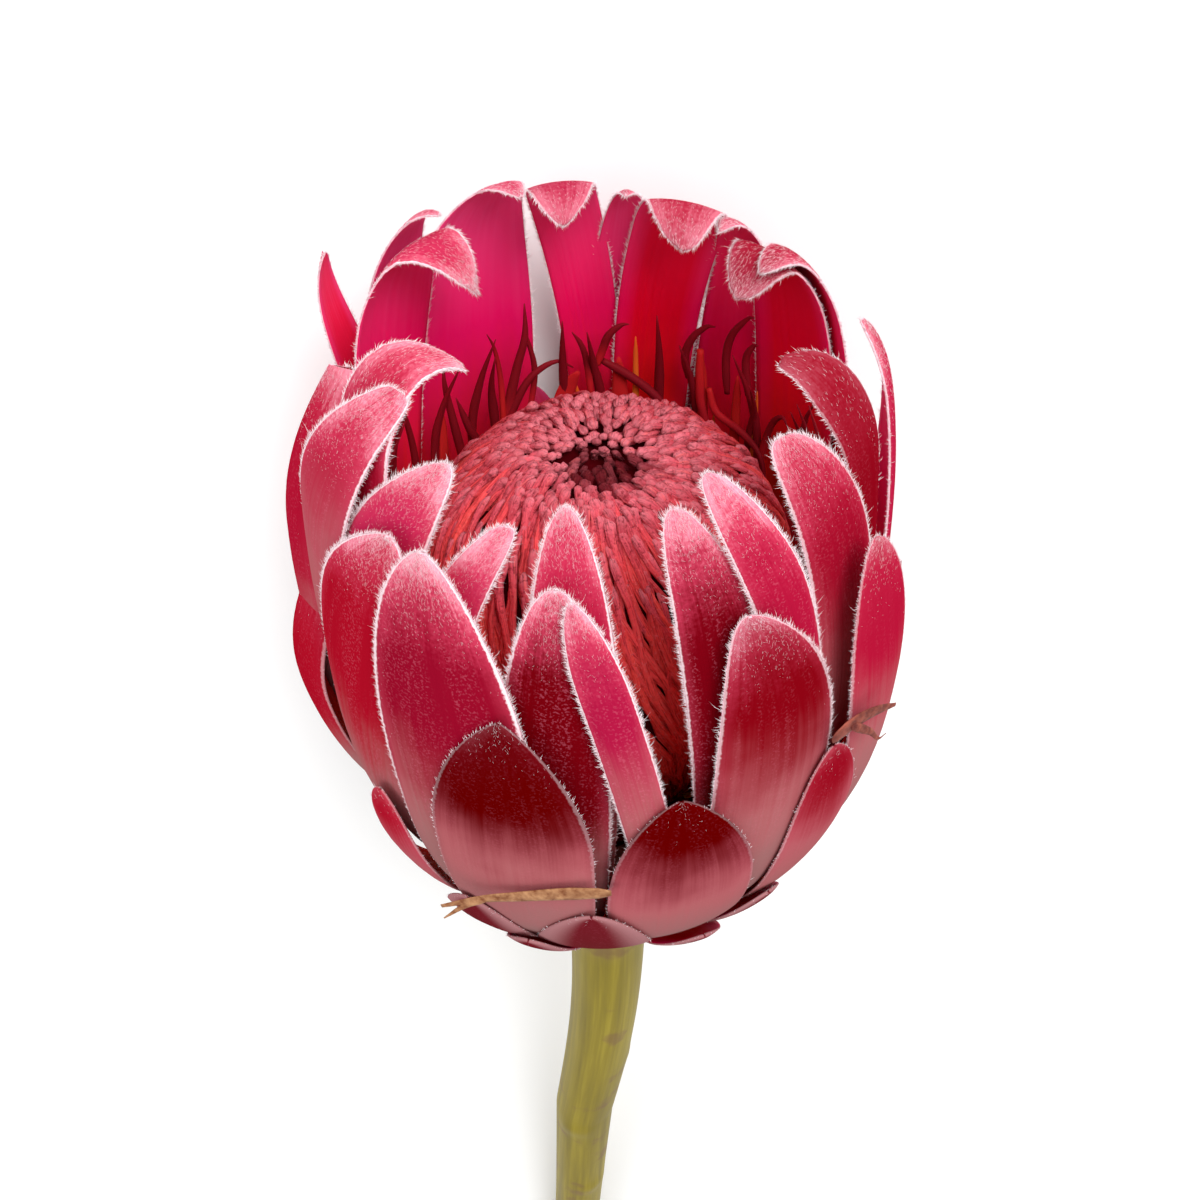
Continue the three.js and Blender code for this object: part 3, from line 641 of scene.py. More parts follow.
def bract_piece(index, bract):
    rows = BLADE_ROWS if bract.reach > SCALE_REACH else SCALE_ROWS
    u = (1 - (1 - np.linspace(0, 1, rows)) ** BLADE_GATHER)[:, None]
    v = np.linspace(-1, 1, BLADE_COLUMNS)[None, :]
    thick = half_thickness(u, v)
    size = rows * BLADE_COLUMNS
    points = np.concatenate([
        bract_surface(bract, u, v, thick).reshape(-1, 3),
        bract_surface(bract, u, v, -thick).reshape(-1, 3),
    ])
    front = grid_faces(rows, BLADE_COLUMNS)
    rim = border(rows, BLADE_COLUMNS)
    after = np.roll(rim, -1)
    edge = np.stack([rim, after, after + size, rim + size], -1)
    faces = np.concatenate([front, front[:, ::-1] + size, edge])
    rim_material = 2 if bract.tip > PALE_RIM_FROM else 0
    kinds = np.repeat([0, 1, rim_material], [len(front), len(front), len(edge)])
    across, along = (np.broadcast_to(x, (rows, BLADE_COLUMNS)).ravel() for x in ((v + 1) / 2, u))
    blade = np.tile(np.stack([across, along], -1), (2, 1))
    uvs = dict(
        Blade=blade[faces.ravel()],
        Tone=np.tile([bract.deep, bract.pink], (faces.size, 1)),
        Zone=np.tile([bract.dust, bract.tip], (faces.size, 1)),
        OFBake=bake_layout(blade, faces, len(edge)),
    )
    make_piece(f"bract_{index:02d}", points, faces, [OUTER, INNER, RIM], "bracts", uvs, kinds)


# Hairs: thin closed spikes, straight or bent once. A fringe's density is in hairs a millimetre.

FRINGE_START = 0.18
SHORT_FRINGE = dict(density=21.0, length=0.42, spread=0.45)
LONG_FRINGE = dict(density=1.7, length=0.75, spread=0.3)
FRINGE_SAMPLES = 600
FULL_FRINGE_TIP = 0.6
TIPWARD, TIPWARD_SPREAD, TIPWARD_BEND = 0.6, 0.3, 0.35
LENGTH_SHAPE = 7.0
DOWN_DENSITY = 20.0
DOWN_AT_EDGE = 0.05
HAIR_GROUPS = 3
HAIR_WIDTHS = dict(fringe=0.034, long_fringe=0.026, down=0.012)
# Keeps a straight hair's two directions apart.
NO_AXIS = np.array([0.013, 0.007, 0.021])


def spikes(roots, first, second, lengths, widths, bent):
    """Points and faces of three-sided spikes that start along `first` and end along `second`."""
    side = unit(np.cross(first, second + NO_AXIS))
    other = unit(np.cross(side, first))
    c, s = np.cos(turns(3))[None, :, None], np.sin(turns(3))[None, :, None]

    def ring(centre, width):
        return centre[:, None] + width[:, None, None] * (c * side[:, None] + s * other[:, None])

    if bent:
        middle = roots + first * (lengths * 0.5)[:, None]
        tip = middle + second * (lengths * 0.5)[:, None]
        points = np.concatenate([ring(roots, widths), ring(middle, widths * 0.7), tip[:, None]], 1)
        each = [(0, 2, 1), (0, 1, 4), (0, 4, 3), (1, 2, 5), (1, 5, 4), (2, 0, 3), (2, 3, 5),
                (3, 4, 6), (4, 5, 6), (5, 3, 6)]
    else:
        tip = roots + unit(first + second) * lengths[:, None]
        points = np.concatenate([ring(roots, widths), tip[:, None]], 1)
        each = [(0, 2, 1), (0, 1, 3), (1, 2, 3), (2, 0, 3)]
    faces = np.array(each)[None] + (np.arange(len(roots)) * points.shape[1])[:, None, None]
    return points.reshape(-1, 3), faces.reshape(-1, 3)


def fluff(bract):
    """How hairy a bract is: the long upper ones are downy, the short lower ones nearly bald."""
    return 0.25 + 0.75 * smoothstep(bract.reach, 48, 74)


def fringe(bract, random, density, length, spread):
    """Hairs along both edges and round the tip, longer and denser towards the tip."""
    u = np.sin(np.linspace(asin(FRINGE_START), pi / 2, FRINGE_SAMPLES))
    path_u = np.concatenate([u, u[::-1]])
    path_v = np.repeat([-1.0, 1.0], FRINGE_SAMPLES)
    line = bract_surface(bract, path_u, path_v)
    steps = steps_along(line)
    lengths = summed(steps)
    weight = summed(steps * (0.15 + 0.85 * smoothstep(path_u[1:], 0.35, 0.75)))
    woolly = 0.25 + 0.75 * min(1.0, bract.tip / FULL_FRINGE_TIP)
    count = int(weight[-1] * density * fluff(bract) * woolly)
    at = np.interp(np.sort(random.random(count)) * weight[-1], weight, lengths)
    root = read_line(line, lengths, at)
    u_at, v_at = np.interp(at, lengths, path_u), np.interp(at, lengths, path_v)
    out = unit(bract_surface(bract, u_at, v_at, 0.5) - bract_surface(bract, u_at, v_at, 0.0))
    travel = unit(read_line(line, lengths, at + 0.3) - read_line(line, lengths, at - 0.3))
    outward = unit(np.cross(travel, out))
    centre = bract_surface(bract, np.minimum(u_at, 0.95), v_at * 0.3)
    outward *= np.sign(np.sum(outward * (root - centre), -1, keepdims=True))
    tipward = travel * np.where(v_at < 0, 1.0, -1.0)[:, None]
    grown = smoothstep(u_at, 0.25, 0.85)
    size = length * (0.35 + 0.65 * grown) * random.gamma(LENGTH_SHAPE, 1 / LENGTH_SHAPE, count)
    size *= 0.6 + 0.4 * fluff(bract)
    sweep = random.normal(TIPWARD, TIPWARD_SPREAD, count)[:, None]
    lean = random.normal(0.1, spread, count)[:, None]
    first = unit(outward + tipward * sweep + out * lean)
    second = unit(first + tipward * TIPWARD_BEND + out * random.normal(0, spread, count)[:, None])
    root = root + out * random.uniform(-0.08, 0.1, count)[:, None]
    return root, first, second, size


def down(bract, random):
    """Short hairs lying on the outer face: dense on the tip, few along its edges and rare lower down."""
    tries = int(bract.reach * bract.half * DOWN_DENSITY)
    u = random.random(tries)
    v = random.uniform(-0.98, 0.98, tries)
    tip = smoothstep(u, 0.84, 1.0)
    edge = smoothstep(np.abs(v), 0.65, 1.0) * smoothstep(u, 0.4, 0.75)
    wish = (tip + DOWN_AT_EDGE * edge) * fluff(bract) * (0.15 + 0.85 * bract.tip)
    kept = random.random(tries) < wish
    u, v, tip = u[kept], v[kept], tip[kept]
    here, above, on, back = (bract_surface(bract, u + step, v, half_thickness(u, v) + lift)
                             for step, lift in ((0, 0), (0, 0.5), (0.004, 0), (-0.004, 0)))
    along, out = unit(on - back), unit(above - here)
    across = unit(np.cross(along, out))
    count = len(u)
    size = (0.2 + 0.36 * tip) * random.uniform(0.6, 1.3, count)
    side = random.normal(0, 0.5, count)[:, None] + 0.5 * v[:, None]
    first = unit(along + across * side + out * random.uniform(0.1, 0.45, count)[:, None])
    second = unit(first + along * 0.3 - out * 0.2)
    return here, first, second, size


def make_bracts():
    random = np.random.default_rng(7)
    hairs = {kind: [[] for _ in range(HAIR_GROUPS)] for kind in HAIR_WIDTHS}
    for index, bract in enumerate(list_bracts(Draws(41))):
        bract_piece(index, bract)
        group = index % HAIR_GROUPS
        hairs["fringe"][group].append(fringe(bract, random, **SHORT_FRINGE))
        hairs["long_fringe"][group].append(fringe(bract, random, **LONG_FRINGE))
        hairs["down"][group].append(down(bract, random))
    for kind, groups in hairs.items():
        for number, group in enumerate(groups):
            roots, first, second, size = (np.concatenate([g[k] for g in group]) for k in range(4))
            width = np.full(len(size), HAIR_WIDTHS[kind])
            points, faces = spikes(roots, first, second, size, width, kind == "long_fringe")
            make_piece(f"bract_{kind}_{number}", points, faces, [HAIR], None)
    ring_piece()


def revolve(name, section, segments, material, node):
    """A piece with a section of radius and height, turned about the flower's axis."""
    r, h = np.array(section, float).T
    points = np.stack([np.outer(r, np.sin(turns(segments))), np.outer(r, -np.cos(turns(segments))),
                       np.repeat(h[:, None], segments, 1)], -1).reshape(-1, 3)
    faces = grid_faces(len(section), segments, closed=True)
    make_piece(name, points, faces, [material], node)


def ring_piece():
    """The woody ring under the bracts, with rounded corners."""
    slope = CUP_LINE.slope[0]
    section = []
    for length, out in (0, RING_END), (RING_DEPTH, RING_END), (RING_DEPTH, RING_START), (0, RING_START):
        p = CUP_LINE.beside(0.0, out, 0.0)
        section.append((-p[1] + slope[0] * length, p[2] + slope[1] * length))
    section = np.array(section)
    rounded = []
    for k in range(4):
        b = section[k]
        a, c = (b + RING_CORNER * (other - b) for other in (section[k - 1], section[(k + 1) % 4]))
        rounded += [(1 - t) ** 2 * a + 2 * t * (1 - t) * b + t**2 * c for t in np.linspace(0, 1, 5)]
    revolve("root_ring", rounded + rounded[:1], 120, RING_SKIN, "bracts")


# Closed florets

DOME = [
    (8.2, 11.1), (8.9, 14), (12, 19), (16, 26), (19.8, 34), (21.8, 42),
    (21.7, 50), (19.6, 57.5), (15.6, 63), (9.6, 66.4), (4, 67), (0.01, 66.4),
]
DOME_LINE = SectionLine(DOME)
# Heads cover the crown and strands the side below it: how many, and how far they start from the top.
HEAD_COUNT, HEAD_SPAN = 330, 11.5
STRAND_COUNT, STRAND_SPAN, STRANDS_FROM = 360, 20.0, 6.0
GOLDEN_TURN = 137.508
# The crown's middle is moved, and what lies further from the axis less and less.
CROWN_SHIFT, CROWN_NEAR, CROWN_FAR = np.array([-1.0, -2.6, 0.0]), 2, 13
# Painted shade in the hollow in the middle of the crown, which reaches further on one side.
SHADE_AZIMUTH, SHADE_REACH, DEEPEST_SHADE = radians(25), 3.5, 1.7
# Half-widths and rises by the distance back from the tip, in millimetres.
HEAD_LENGTH = 7.0
HEAD_WIDTH = [0, 0.12, 0.4, 0.8, 1.5, 2.6, 7], [0.2, 0.46, 0.62, 0.66, 0.58, 0.5, 0.5]
HEAD_RISE = [0, 0.5, 1.2, 2.6, 4.5, 7], [0.5, 0.85, 0.75, 0.35, 0.0, -0.7]
STRAND_WIDTH = [0, 0.3, 1.0, 2.4, 5, 12, 50], [0.1, 0.36, 0.52, 0.5, 0.44, 0.56, 0.6]
STRAND_RISE = [0, 1.0, 2.4, 6, 50], [0.2, 0.5, 0.45, 0.25, 0.1]
STRAND_FOOT = 3.0
STRAND_TONE = -0.25
LONGEST_BACK = 50
FLATTENED = 0.8
CORE_RISE = -0.6


def tube_points(centres, ups, widths, heights, sides):
    """Rings round centres (n, 3) with an up direction, as an (n, sides, 3) array."""
    forward = unit(np.gradient(centres, axis=0))
    side = unit(np.cross(forward, ups))
    rise = np.cross(side, forward)
    up, aside = np.cos(turns(sides))[None, :, None], np.sin(turns(sides))[None, :, None]
    return (centres[:, None] + heights[:, None, None] * up * rise[:, None]
            + widths[:, None, None] * aside * side[:, None])


def floret_head(k, random):
    """A floret of the crown: its blunt tip stands out, its body runs down over the next ones."""
    from_top = HEAD_SPAN * sqrt((k + 0.5) / HEAD_COUNT)
    azimuth = radians(k * GOLDEN_TURN + random.normal(0, 34 / (from_top + 5)))
    from_top = abs(from_top + random.normal(0, 0.35))
    back = HEAD_LENGTH * np.linspace(0, 1, 12) ** 1.4
    upright = 1 - smoothstep(from_top, 1.0, 6.5)
    size = random.uniform(0.7, 1.15) * (0.8 + 0.2 * smoothstep(from_top, 0.5, 5.0))
    width = size * np.interp(back, *HEAD_WIDTH) * (1 + 0.2 * upright)
    width = width * (1 + random.normal(0, 0.12, len(width)))
    sunk = 0.6 * (1 - smoothstep(from_top, 0.2, 1.4))
    bulge = random.normal(0, 0.32) * np.exp(-back / 2.5)
    rise = np.interp(back, *HEAD_RISE) + bulge - sunk - 0.5 * upright * back
    back = back * (1 - 0.75 * upright)
    # The painted shade of the crown's hollow, added to the tone.
    frontness = max(0.0, cos(azimuth - SHADE_AZIMUTH))
    dark = DEEPEST_SHADE * (1 - smoothstep(from_top - SHADE_REACH * frontness, 0.5, 4.5))
    return dome_strand(from_top, back, rise, width, azimuth, random.normal(14, 12), random, dark)


def floret_strand(k, random):
    """A long floret that lies down along the side of the dome, to its foot."""
    inner = (STRANDS_FROM / STRAND_SPAN) ** 2
    from_top = STRAND_SPAN * sqrt(inner + (1 - inner) * (k + 0.5) / STRAND_COUNT)
    azimuth = radians(k * GOLDEN_TURN + random.normal(0, 1.5))
    back = (DOME_LINE.total - from_top - STRAND_FOOT) * np.linspace(0, 1, 21) ** 1.7
    width = random.uniform(0.7, 1.2) * np.interp(back, *STRAND_WIDTH)
    bulge = random.normal(0, 0.16) * np.exp(-back / 9)
    rise = np.interp(back, *STRAND_RISE) + bulge + random.normal(0, 0.22)
    return dome_strand(from_top, back, rise, width, azimuth, random.normal(12, 5), random, STRAND_TONE)


def dome_strand(from_top, back, rise, width, azimuth, swirl, random, tone):
    """A tube that starts from_top from the dome's top and runs down, turned aside by the swirl."""
    length = DOME_LINE.total - from_top - back
    wave = np.sin(back * random.uniform(0.25, 0.5) + random.uniform(0, 6)) * np.minimum(back / 6, 1)
    turned = azimuth + radians(swirl) * back / 12 + 0.03 * wave
    centres = DOME_LINE.beside(length, rise, turned)
    ups = unit(DOME_LINE.beside(length, rise + 1, turned) - centres)
    near = 1 - smoothstep(np.hypot(centres[:, 0], centres[:, 1]), CROWN_NEAR, CROWN_FAR)
    centres = centres + near[:, None] * CROWN_SHIFT
    rings = tube_points(centres, ups, width, width * FLATTENED, 6)
    return rings, back / LONGEST_BACK, back, random.random() + tone


def tube_group(name, tubes, material, node):
    """One piece of many closed tubes: rings, what runs along them, millimetres along, a tone."""
    points, faces, first_uv, second_uv, start = [], [], [], [], 0
    for rings, share, along, tone in tubes:
        rows, sides = rings.shape[:2]
        points += [rings.reshape(-1, 3), rings[:1].mean(1), rings[-1:].mean(1)]
        j = np.arange(sides)
        after = (j + 1) % sides
        last = (rows - 1) * sides
        tip, foot = np.full(sides, rows * sides), np.full(sides, rows * sides + 1)
        block = np.concatenate([
            tube_faces(rows, sides),
            np.stack([tip, after, j], -1), np.stack([foot, last + j, last + after], -1),
        ])
        row_of = np.append(np.repeat(np.arange(rows), sides), [0, rows - 1])
        column_of = np.append(np.tile(j, rows), [0, 0])
        columns = column_of[block]
        wraps = (columns.max(1) - columns.min(1) > sides / 2)[:, None] & (columns == 0)
        turned = np.where(wraps, sides, columns) / sides
        first_uv.append(np.stack([np.full(block.size, tone), share[row_of[block]].ravel()], -1))
        second_uv.append(np.stack([turned.ravel(), along[row_of[block]].ravel()], -1))
        faces.append(block + start)
        start += rows * sides + 2
    points, faces, first_uv, second_uv = (np.concatenate(x) for x in (points, faces, first_uv, second_uv))
    make_piece(name, points, faces, [material], node, dict(Floret=first_uv, Fibre=second_uv))


def make_closed_florets():
    random = np.random.default_rng(11)
    for name, count, make in (
        ("floret_heads", HEAD_COUNT, floret_head), ("floret_strands", STRAND_COUNT, floret_strand),
    ):
        tube_group(name, [make(k, random) for k in range(count)], FLORET, "florets")
    ring = DOME_LINE.beside(np.linspace(0, DOME_LINE.total, 60), CORE_RISE, 0.0)
    section = [(0.0, DOME[0][1] + 0.5)] + [(max(0.0, -p[1]), p[2]) for p in ring] + [(0.0, ring[-1][2])]
    revolve("floret_core", section, 96, CORE, "florets")


# Open florets

OPEN_RING = [(10.7, 13.8), (12.9, 14.4), (12.9, 16), (10.7, 15.6), (10.7, 13.8)]
OPEN_AZIMUTHS = [
    -152, -137, -121, -106, -90, -71, -52, 34, 58, 76, 92, 104, 117, 129, 141, 153, 166, 179, -168,
]
OPEN_PATH = [(11.4, 14.8), (17.9, 22.2), (23.1, 33), (25.3, 45), (25.8, 56)]
# Past the end of the path: how far inwards, and shares of the last reach up and of the bend.
OPEN_ENDS = [(1, 0.5, 1.2), (3.6, 1, 1.8)]
OPEN_TIP, TIP_SCATTER, AZIMUTH_SCATTER, BEND_SCATTER = 13, 3, 3, 5
OPEN_SEED = 1775529208
# Shares along, and half-widths or shares of the half-width there.
OPEN_WIDTH = [0, 0.5, 0.66, 0.74, 0.82, 0.9, 1], [0.5, 0.52, 0.54, 0.62, 0.66, 0.42, 0.08]
WHISKER_WIDTH = [0, 0.15, 0.5, 0.8, 1], [0.7, 1, 1, 0.7, 0.12]
SHEATH_WIDTH = [0, 0.2, 0.6, 0.9, 1], [0.6, 0.9, 1, 0.7, 0.15]
WHISKERS_WIDER, WHISKER_FLAT = 1.35, 0.8
SHEATH_THICKNESS, OPEN_FLAT = 0.25, 0.7


def around_axis(radius, height, azimuth):
    """A point in the flower's frame."""
    return np.array([radius * sin(azimuth), -radius * cos(azimuth), height])


def route_knots(route):
    return [around_axis(r, h, radians(az)) for az, h, r in route]


def smooth_through(knots, count):
    """Points at even lengths on a smooth curve through knots."""
    knots = np.array(knots)
    last = len(knots) - 1
    t = np.linspace(0, last, 400)
    i = np.minimum(t.astype(int), last - 1)
    w = (t - i)[:, None]
    padded = np.concatenate([[2 * knots[0] - knots[1]], knots, [2 * knots[-1] - knots[-2]]])
    a, b, c, d = (padded[i + k] for k in range(4))
    curve = 0.5 * ((2 * b) + (c - a) * w + (2 * a - 5 * b + 4 * c - d) * w**2
                   + (3 * b - a - 3 * c + d) * w**3)
    lengths = summed(steps_along(curve))
    return read_line(curve, lengths, np.linspace(0, lengths[-1], count))


# Thin curled ends and flat sheaths between the open florets: half-width, where the colours of both
# ends lie on an open floret, then azimuth, height and radius at places along each.
WHISKERS = [
    (0.5, 0.55, 1.0, (-149, 48, 25.3), (-151.2, 57, 25.3), (-154.7, 63, 25.5), (-157.2, 67.3, 25.2),
        (-157.3, 72, 25)),
    (0.3, 0.6, 1.0, (-157, 55, 25), (-159.8, 62, 25.3), (-158, 67, 25.5), (-157, 69, 25.4)),
    (0.45, 0.6, 0.95, (-146, 48, 25), (-150, 55, 25), (-155, 59.5, 25), (-159.7, 62, 25),
        (-166.2, 63.2, 25), (-171, 62, 25)),
    (0.4, 0.6, 1.0, (-178, 62, 25.4), (-179.3, 64, 25.4), (178.8, 66.4, 25.2), (175.4, 68, 24.9),
        (173, 68.4, 24.6)),
    (0.35, 0.6, 1.0, (-176, 58, 25), (-175, 62.4, 25.3), (-173.4, 65, 25.4), (-170.8, 67, 25.2)),
    (0.45, 0.8, 0.9, (-179.5, 62.8, 25), (176, 61.6, 25), (170.4, 60, 25), (164.8, 58, 25),
        (158.6, 55, 24.6), (156, 51, 24.2)),
    (0.4, 0.8, 1.0, (155.6, 61.5, 25.4), (157, 64.6, 25.5), (154.6, 67.6, 25.2), (150.6, 69.6, 25),
        (147.5, 70.2, 24.6)),
    (0.4, 0.8, 1.0, (143.4, 61, 25.4), (144.6, 66, 25.5), (142.9, 69.5, 25.3), (137.9, 72.6, 25),
        (135, 73.4, 24.6)),
    (0.4, 0.8, 1.0, (136.4, 62, 25.4), (138.2, 66.6, 25.5), (136, 69, 25.3), (133.6, 69.8, 25)),
    (0.45, 0.55, 0.9, (152.5, 66, 25.4), (152, 62, 25.2), (150.7, 58, 25), (145.4, 53, 24.6),
        (136.4, 49, 24)),
    (0.4, 0.6, 0.9, (149, 61, 25.2), (146, 58, 25), (137, 56.6, 25), (129.2, 55, 24.8), (124, 51, 24.4)),
    (0.45, 0.6, 1.0, (-136, 47, 24.6), (-134.2, 54, 25), (-132.6, 59.2, 25.3), (-130.8, 65, 25.4),
        (-131, 68, 25.2)),
    (0.45, 0.6, 0.95, (-143, 48, 24.6), (-140.9, 53.6, 25), (-137.9, 57, 25.2), (-134.5, 62, 25.4)),
    (0.3, 0.5, 0.8, (-149, 52, 25), (-149.6, 61, 25.4), (-148.3, 66.4, 25.5), (-146, 69, 25.4)),
    (0.4, 0.55, 0.9, (131, 50, 25), (127.6, 59, 25.4), (123, 62, 25.3), (119, 61.5, 25)),
    (0.4, 0.55, 1.0, (112, 46, 25), (116, 56, 25.4), (113, 64, 25.4), (108, 68, 25)),
    (0.4, 0.55, 1.0, (-112, 46, 25), (-116, 57, 25.4), (-113, 65, 25.4), (-107, 68, 25)),
]
SHEATHS = [
    (1.3, 0.45, 0.62, (174, 40, 24.6), (175.2, 50, 25.4), (175.6, 57, 25.6), (176, 63, 25.6)),
    (1.6, 0.5, 0.62, (-160, 42, 24.4), (-165, 52, 25.2), (-169, 58.5, 25.4), (-172.5, 61.4, 25)),
    (0.9, 0.45, 0.6, (150, 42, 24.6), (150.6, 52, 25.4), (151.5, 60, 25.6), (152, 65, 25.6)),
    (0.8, 0.45, 0.6, (139.6, 42, 24.6), (140, 52, 25.4), (140.4, 60, 25.6), (140.6, 64, 25.6)),
    (0.9, 0.45, 0.6, (-127, 40, 24.6), (-128, 50, 25.4), (-129, 57, 25.6), (-129.6, 61, 25.6)),
    (0.5, 0.1, 0.35, (-173, 44, 25), (-173.6, 52, 25.6), (-172, 59, 25.6)),
    (0.45, 0.1, 0.35, (171, 44, 25), (171, 54, 25.8), (171.4, 66, 25.8)),
    (0.5, 0.1, 0.35, (147, 40, 25), (147, 50, 25.6), (147.4, 57, 25.6)),
    (0.4, 0.1, 0.35, (133, 44, 25), (133.4, 54, 25.6), (134, 63, 25.8)),
    (0.45, 0.1, 0.35, (-139, 40, 24.6), (-139, 48, 25.4), (-140, 54, 25.4)),
    (0.4, 0.1, 0.35, (116, 40, 25), (117, 50, 25.6), (118, 57, 25.6)),
    (0.45, 0.1, 0.35, (-100, 40, 25), (-101, 50, 25.6), (-102, 58, 25.8)),
]


def strand(knots, rows, widths, flat, share, tone):
    """A tube through knots, `flat` times as thick as it is wide."""
    centres = smooth_through(knots, rows)
    ups = unit(centres * np.array([1, 1, 0]))
    along = summed(steps_along(centres))
    return tube_points(centres, ups, widths, widths * flat, 10), share, along, tone


def make_open_florets(draws):
    random = np.random.default_rng(19)
    tubes = []
    end_radius, end_height = OPEN_PATH[-1]
    run = np.linspace(0, 1, 40)
    width = np.interp(run, *OPEN_WIDTH)
    for az in OPEN_AZIMUTHS:
        azimuth = radians(az + draws.scatter(AZIMUTH_SCATTER))
        bend = radians(draws.scatter(BEND_SCATTER))
        reach = OPEN_TIP + draws.scatter(TIP_SCATTER)
        knots = [around_axis(r, h, azimuth + bend * (i / len(OPEN_PATH)) ** 2)
                 for i, (r, h) in enumerate(OPEN_PATH)]
        knots += [around_axis(end_radius - inward, end_height + reach * rise, azimuth + bend * turn)
                  for inward, rise, turn in OPEN_ENDS]
        tubes.append(strand(knots, 40, width, OPEN_FLAT, run, random.random()))
    run = np.linspace(0, 1, 28)
    for table, shape, wider in (WHISKERS, WHISKER_WIDTH, WHISKERS_WIDER), (SHEATHS, SHEATH_WIDTH, 1):
        for half, start, end, *route in table:
            width = wider * half * np.interp(run, *shape)
            flat = WHISKER_FLAT if table is WHISKERS else SHEATH_THICKNESS / half
            share = start + (end - start) * run
            tubes.append(strand(route_knots(route), 28, width, flat, share, random.random()))
    tube_group("open_florets_fine", tubes, OPEN, "open_florets")
    revolve("open_floret_ring", OPEN_RING, 96, CORE, "open_florets")


# Stem

STEM = dict(thinnest=3.5, neck=6.2, taper=200, length=178, back=0.0881, side=-0.038, bow=2.1)
LEAF_SCARS = [(66, 110), (92, -22), (121, 30), (150, -135)]
# A scar's ridge and the swelling about it: height, reach along the stem, narrowness.
SCAR_SHAPES = [(0.3, 2.2, 6), (0.12, 5, 2)]
WAVE_HEIGHT, WAVE_LENGTH, RIB_HEIGHT, RIBS = 0.10, 17, 0.05, 7
# The receptacle, from below to the dome's seat.
RECEPTACLE = [(6.6, -8.5), (7.8, -2.8), (10.6, 0.2), (11.5, 2.7), (10.4, 6), (8.1, 10.7)]


def stem_centre(down_by):
    share = down_by / STEM["length"]
    bowed = STEM["bow"] * np.sin(pi * np.minimum(1, 2 * share))
    return np.stack([STEM["side"] * down_by + bowed, STEM["back"] * down_by, -down_by], -1)


def make_stem():
    rows, sides = 260, 56
    down_by = np.linspace(0, STEM["length"], rows)
    centres = stem_centre(down_by)
    radius = STEM["thinnest"] + (STEM["neck"] - STEM["thinnest"]) * np.exp(-down_by / STEM["taper"])
    ups = np.repeat(np.array([[0.0, 1.0, 0.0]]), rows, 0)
    rings = tube_points(centres, ups, radius, radius, sides)
    offset = unit(rings - centres[:, None])
    around = turns(sides)
    swell = np.zeros((rows, sides))
    for place, az in LEAF_SCARS:
        direction = np.array([sin(radians(az)), -cos(radians(az)), 0])
        facing = np.clip(offset @ direction, 0, 1)
        for height, reach, narrow in SCAR_SHAPES:
            swell += height * np.exp(-((down_by - place) / reach) ** 2)[:, None] * facing ** narrow
    wave = WAVE_HEIGHT * np.sin(down_by / WAVE_LENGTH)[:, None] * np.cos(around * 2)[None]
    rings = rings + offset * (swell + (wave + RIB_HEIGHT * np.sin(around * RIBS)[None]))[..., None]
    share = np.broadcast_to((down_by / STEM["length"])[:, None], (rows, sides))
    columns = np.broadcast_to(around[None] / (2 * pi), (rows, sides))
    points = np.concatenate([rings.reshape(-1, 3), centres[-1:]])
    j, last = np.arange(sides), (rows - 1) * sides
    cap = np.stack([np.full(sides, rows * sides), last + j, last + (j + 1) % sides], -1)
    faces = np.concatenate([tube_faces(rows, sides), cap])
    coords = np.concatenate([np.stack([columns.ravel(), share.ravel()], -1), [[0.5, 1.0]]])
    uv = coords[faces.ravel()].reshape(-1, 3, 2)
    wrapped = (uv[..., 0].max(1) - uv[..., 0].min(1)) > 0.5
    uv[..., 0] += wrapped[:, None] & (uv[..., 0] < 0.5)
    kinds = np.repeat([0, 1], [len(faces) - sides, sides])
    cut = wood_material("stem_cut", (148.88, 139.45, 89.04), (190.84, 182.39, 134.41), 1200.0)
    make_piece("stem_fine", points, faces, [STEM_SKIN, cut], "stem", dict(Stem=uv), kinds)
    line = SectionLine(RECEPTACLE).line
    side = [line[int(i)] for i in np.linspace(0, len(line) - 1, 40)]
    section = [(0.0, RECEPTACLE[0][1]), *side, (0.0, RECEPTACLE[-1][1])]
    revolve("receptacle", section, 96, RING_SKIN, "stem")


# Dry strips, each with a branch: half-width at the root and at the tip, then azimuth, height and
# radius at places along it.
STRIPS = [
    ("dry_strip_front", "dry_tan", TAN, [
        (1.1, 0.35, (1, 36.2, 36.5), (-7, 35.8, 36.6), (-14, 34.4, 36.7), (-21, 32.6, 37.1),
         (-28, 30.2, 38.3)),
        (0.5, 0.12, (-20, 32.9, 37), (-24, 31.0, 37.6), (-27.4, 28.6, 38.6)),
    ]),
    ("dry_strip_side", "dry_brown", BROWN, [
        (1.2, 0.35, (40, 50.5, 36.4), (45, 51.3, 36.7), (50, 50.8, 37.2), (55, 49.5, 37.9)),
        (0.6, 0.15, (44, 51.2, 36.8), (48.4, 48.6, 37.4), (50.6, 46.6, 37.8), (52, 46.9, 38.2)),
    ]),
]
STRIP_WIDTH = [0, 0.06, 0.2, 1], [0.4, 0.8, 1, 0.7]
STRIP_THICKNESS, STRIP_TONE = 0.18, 0.5


def make_strips():
    share = np.linspace(0, 1, 48)
    for name, slot, material, parts in STRIPS:
        tubes = []
        for half, tip, *route in parts:
            width = (half + (tip - half) * share**2) * np.interp(share, *STRIP_WIDTH)
            tubes.append(strand(route_knots(route), 48, width, STRIP_THICKNESS / half, share, STRIP_TONE))
        tube_group(name + "_fine", tubes, material, name)


# Stage

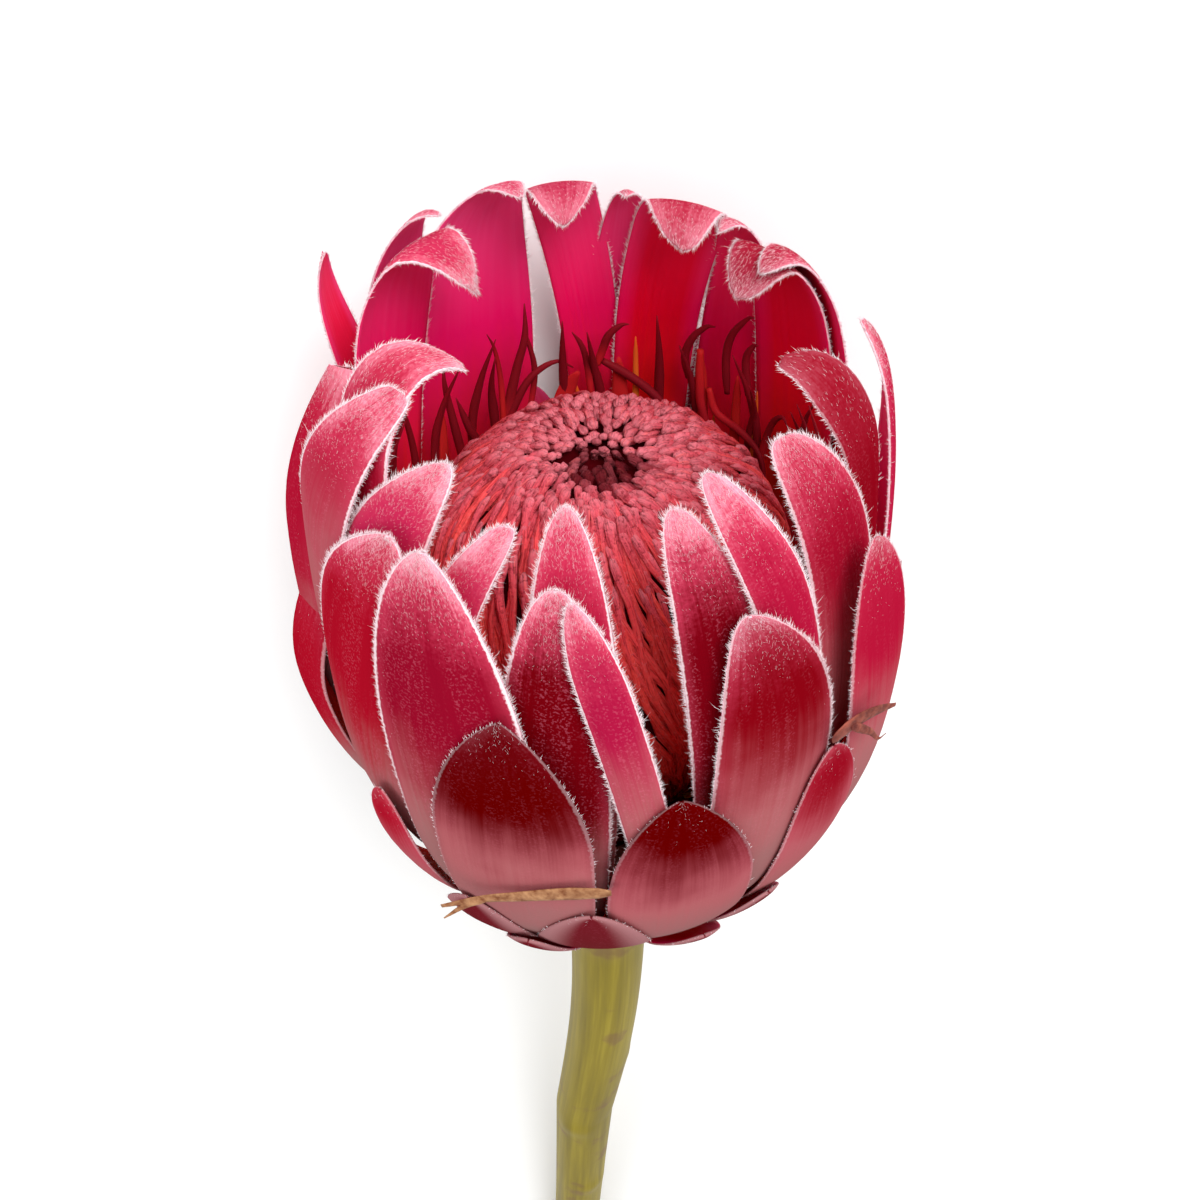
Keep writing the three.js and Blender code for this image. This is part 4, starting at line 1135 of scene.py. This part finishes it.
# Lights: name, place, diameter and power.
LIGHTS = [("key", (-0.25, -0.75, 0.6), 0.5, 7.0), ("fill", (0.6, 0.1, 0.6), 0.6, 1.5)]
LIT_PLACE = (0, -0.07, 0.03)
WORLD_STRENGTH = 0.85
FLOOR_HALF = 3.0


def make_camera():
    down_angle = radians(VIEW_DOWN)
    right = Vector((1, 0, 0))
    up = Vector((0, cos(down_angle), sin(down_angle)))
    back = Vector((0, -sin(down_angle), cos(down_angle)))
    place = (back * VIEW_DISTANCE + up * VIEW_DROP - right * VIEW_ASIDE) * MM
    turn = TURN @ Matrix((right, up, back)).transposed()
    camera = linked("camera", bpy.data.cameras.new("camera"))
    camera.data.lens = LENS
    camera.data.sensor_width = SENSOR
    camera.data.clip_start, camera.data.clip_end = NEAR_CLIP, FAR_CLIP
    camera.matrix_world = Matrix.Translation(TURN @ place + SHIFT) @ turn.to_4x4()
    bpy.context.scene.camera = camera


def area_light(name, place, size, power):
    light = bpy.data.lights.new(name, "AREA")
    light.shape = "DISK"
    light.size = size
    light.energy = power
    lamp = linked(name, light)
    lamp.location = place
    lamp.rotation_euler = (Vector(LIT_PLACE) - Vector(place)).to_track_quat("-Z", "Y").to_euler()


def make_stage():
    mesh = bpy.data.meshes.new("floor")
    corners = [(x * FLOOR_HALF, y * FLOOR_HALF, 0) for x, y in ((-1, -1), (1, -1), (1, 1), (-1, 1))]
    mesh.from_pydata(corners, [], [(0, 1, 2, 3)])
    floor = linked("floor", mesh)
    mesh.materials.append(plain_material("floor_white", (0.95, 0.95, 0.95, 1), roughness=0.9, specular=0.1))
    world = bpy.data.worlds.new("studio")
    world.use_nodes = True
    background = world.node_tree.nodes["Background"].inputs
    background["Color"].default_value = (1, 1, 1, 1)
    background["Strength"].default_value = WORLD_STRENGTH
    bpy.context.scene.world = world
    for light in LIGHTS:
        area_light(*light)
    view = bpy.context.scene.view_settings
    view.view_transform, view.look = "Standard", "None"


make_camera()
make_stage()
make_bracts()
make_closed_florets()
make_open_florets(Draws(OPEN_SEED))
make_stem()
make_strips()
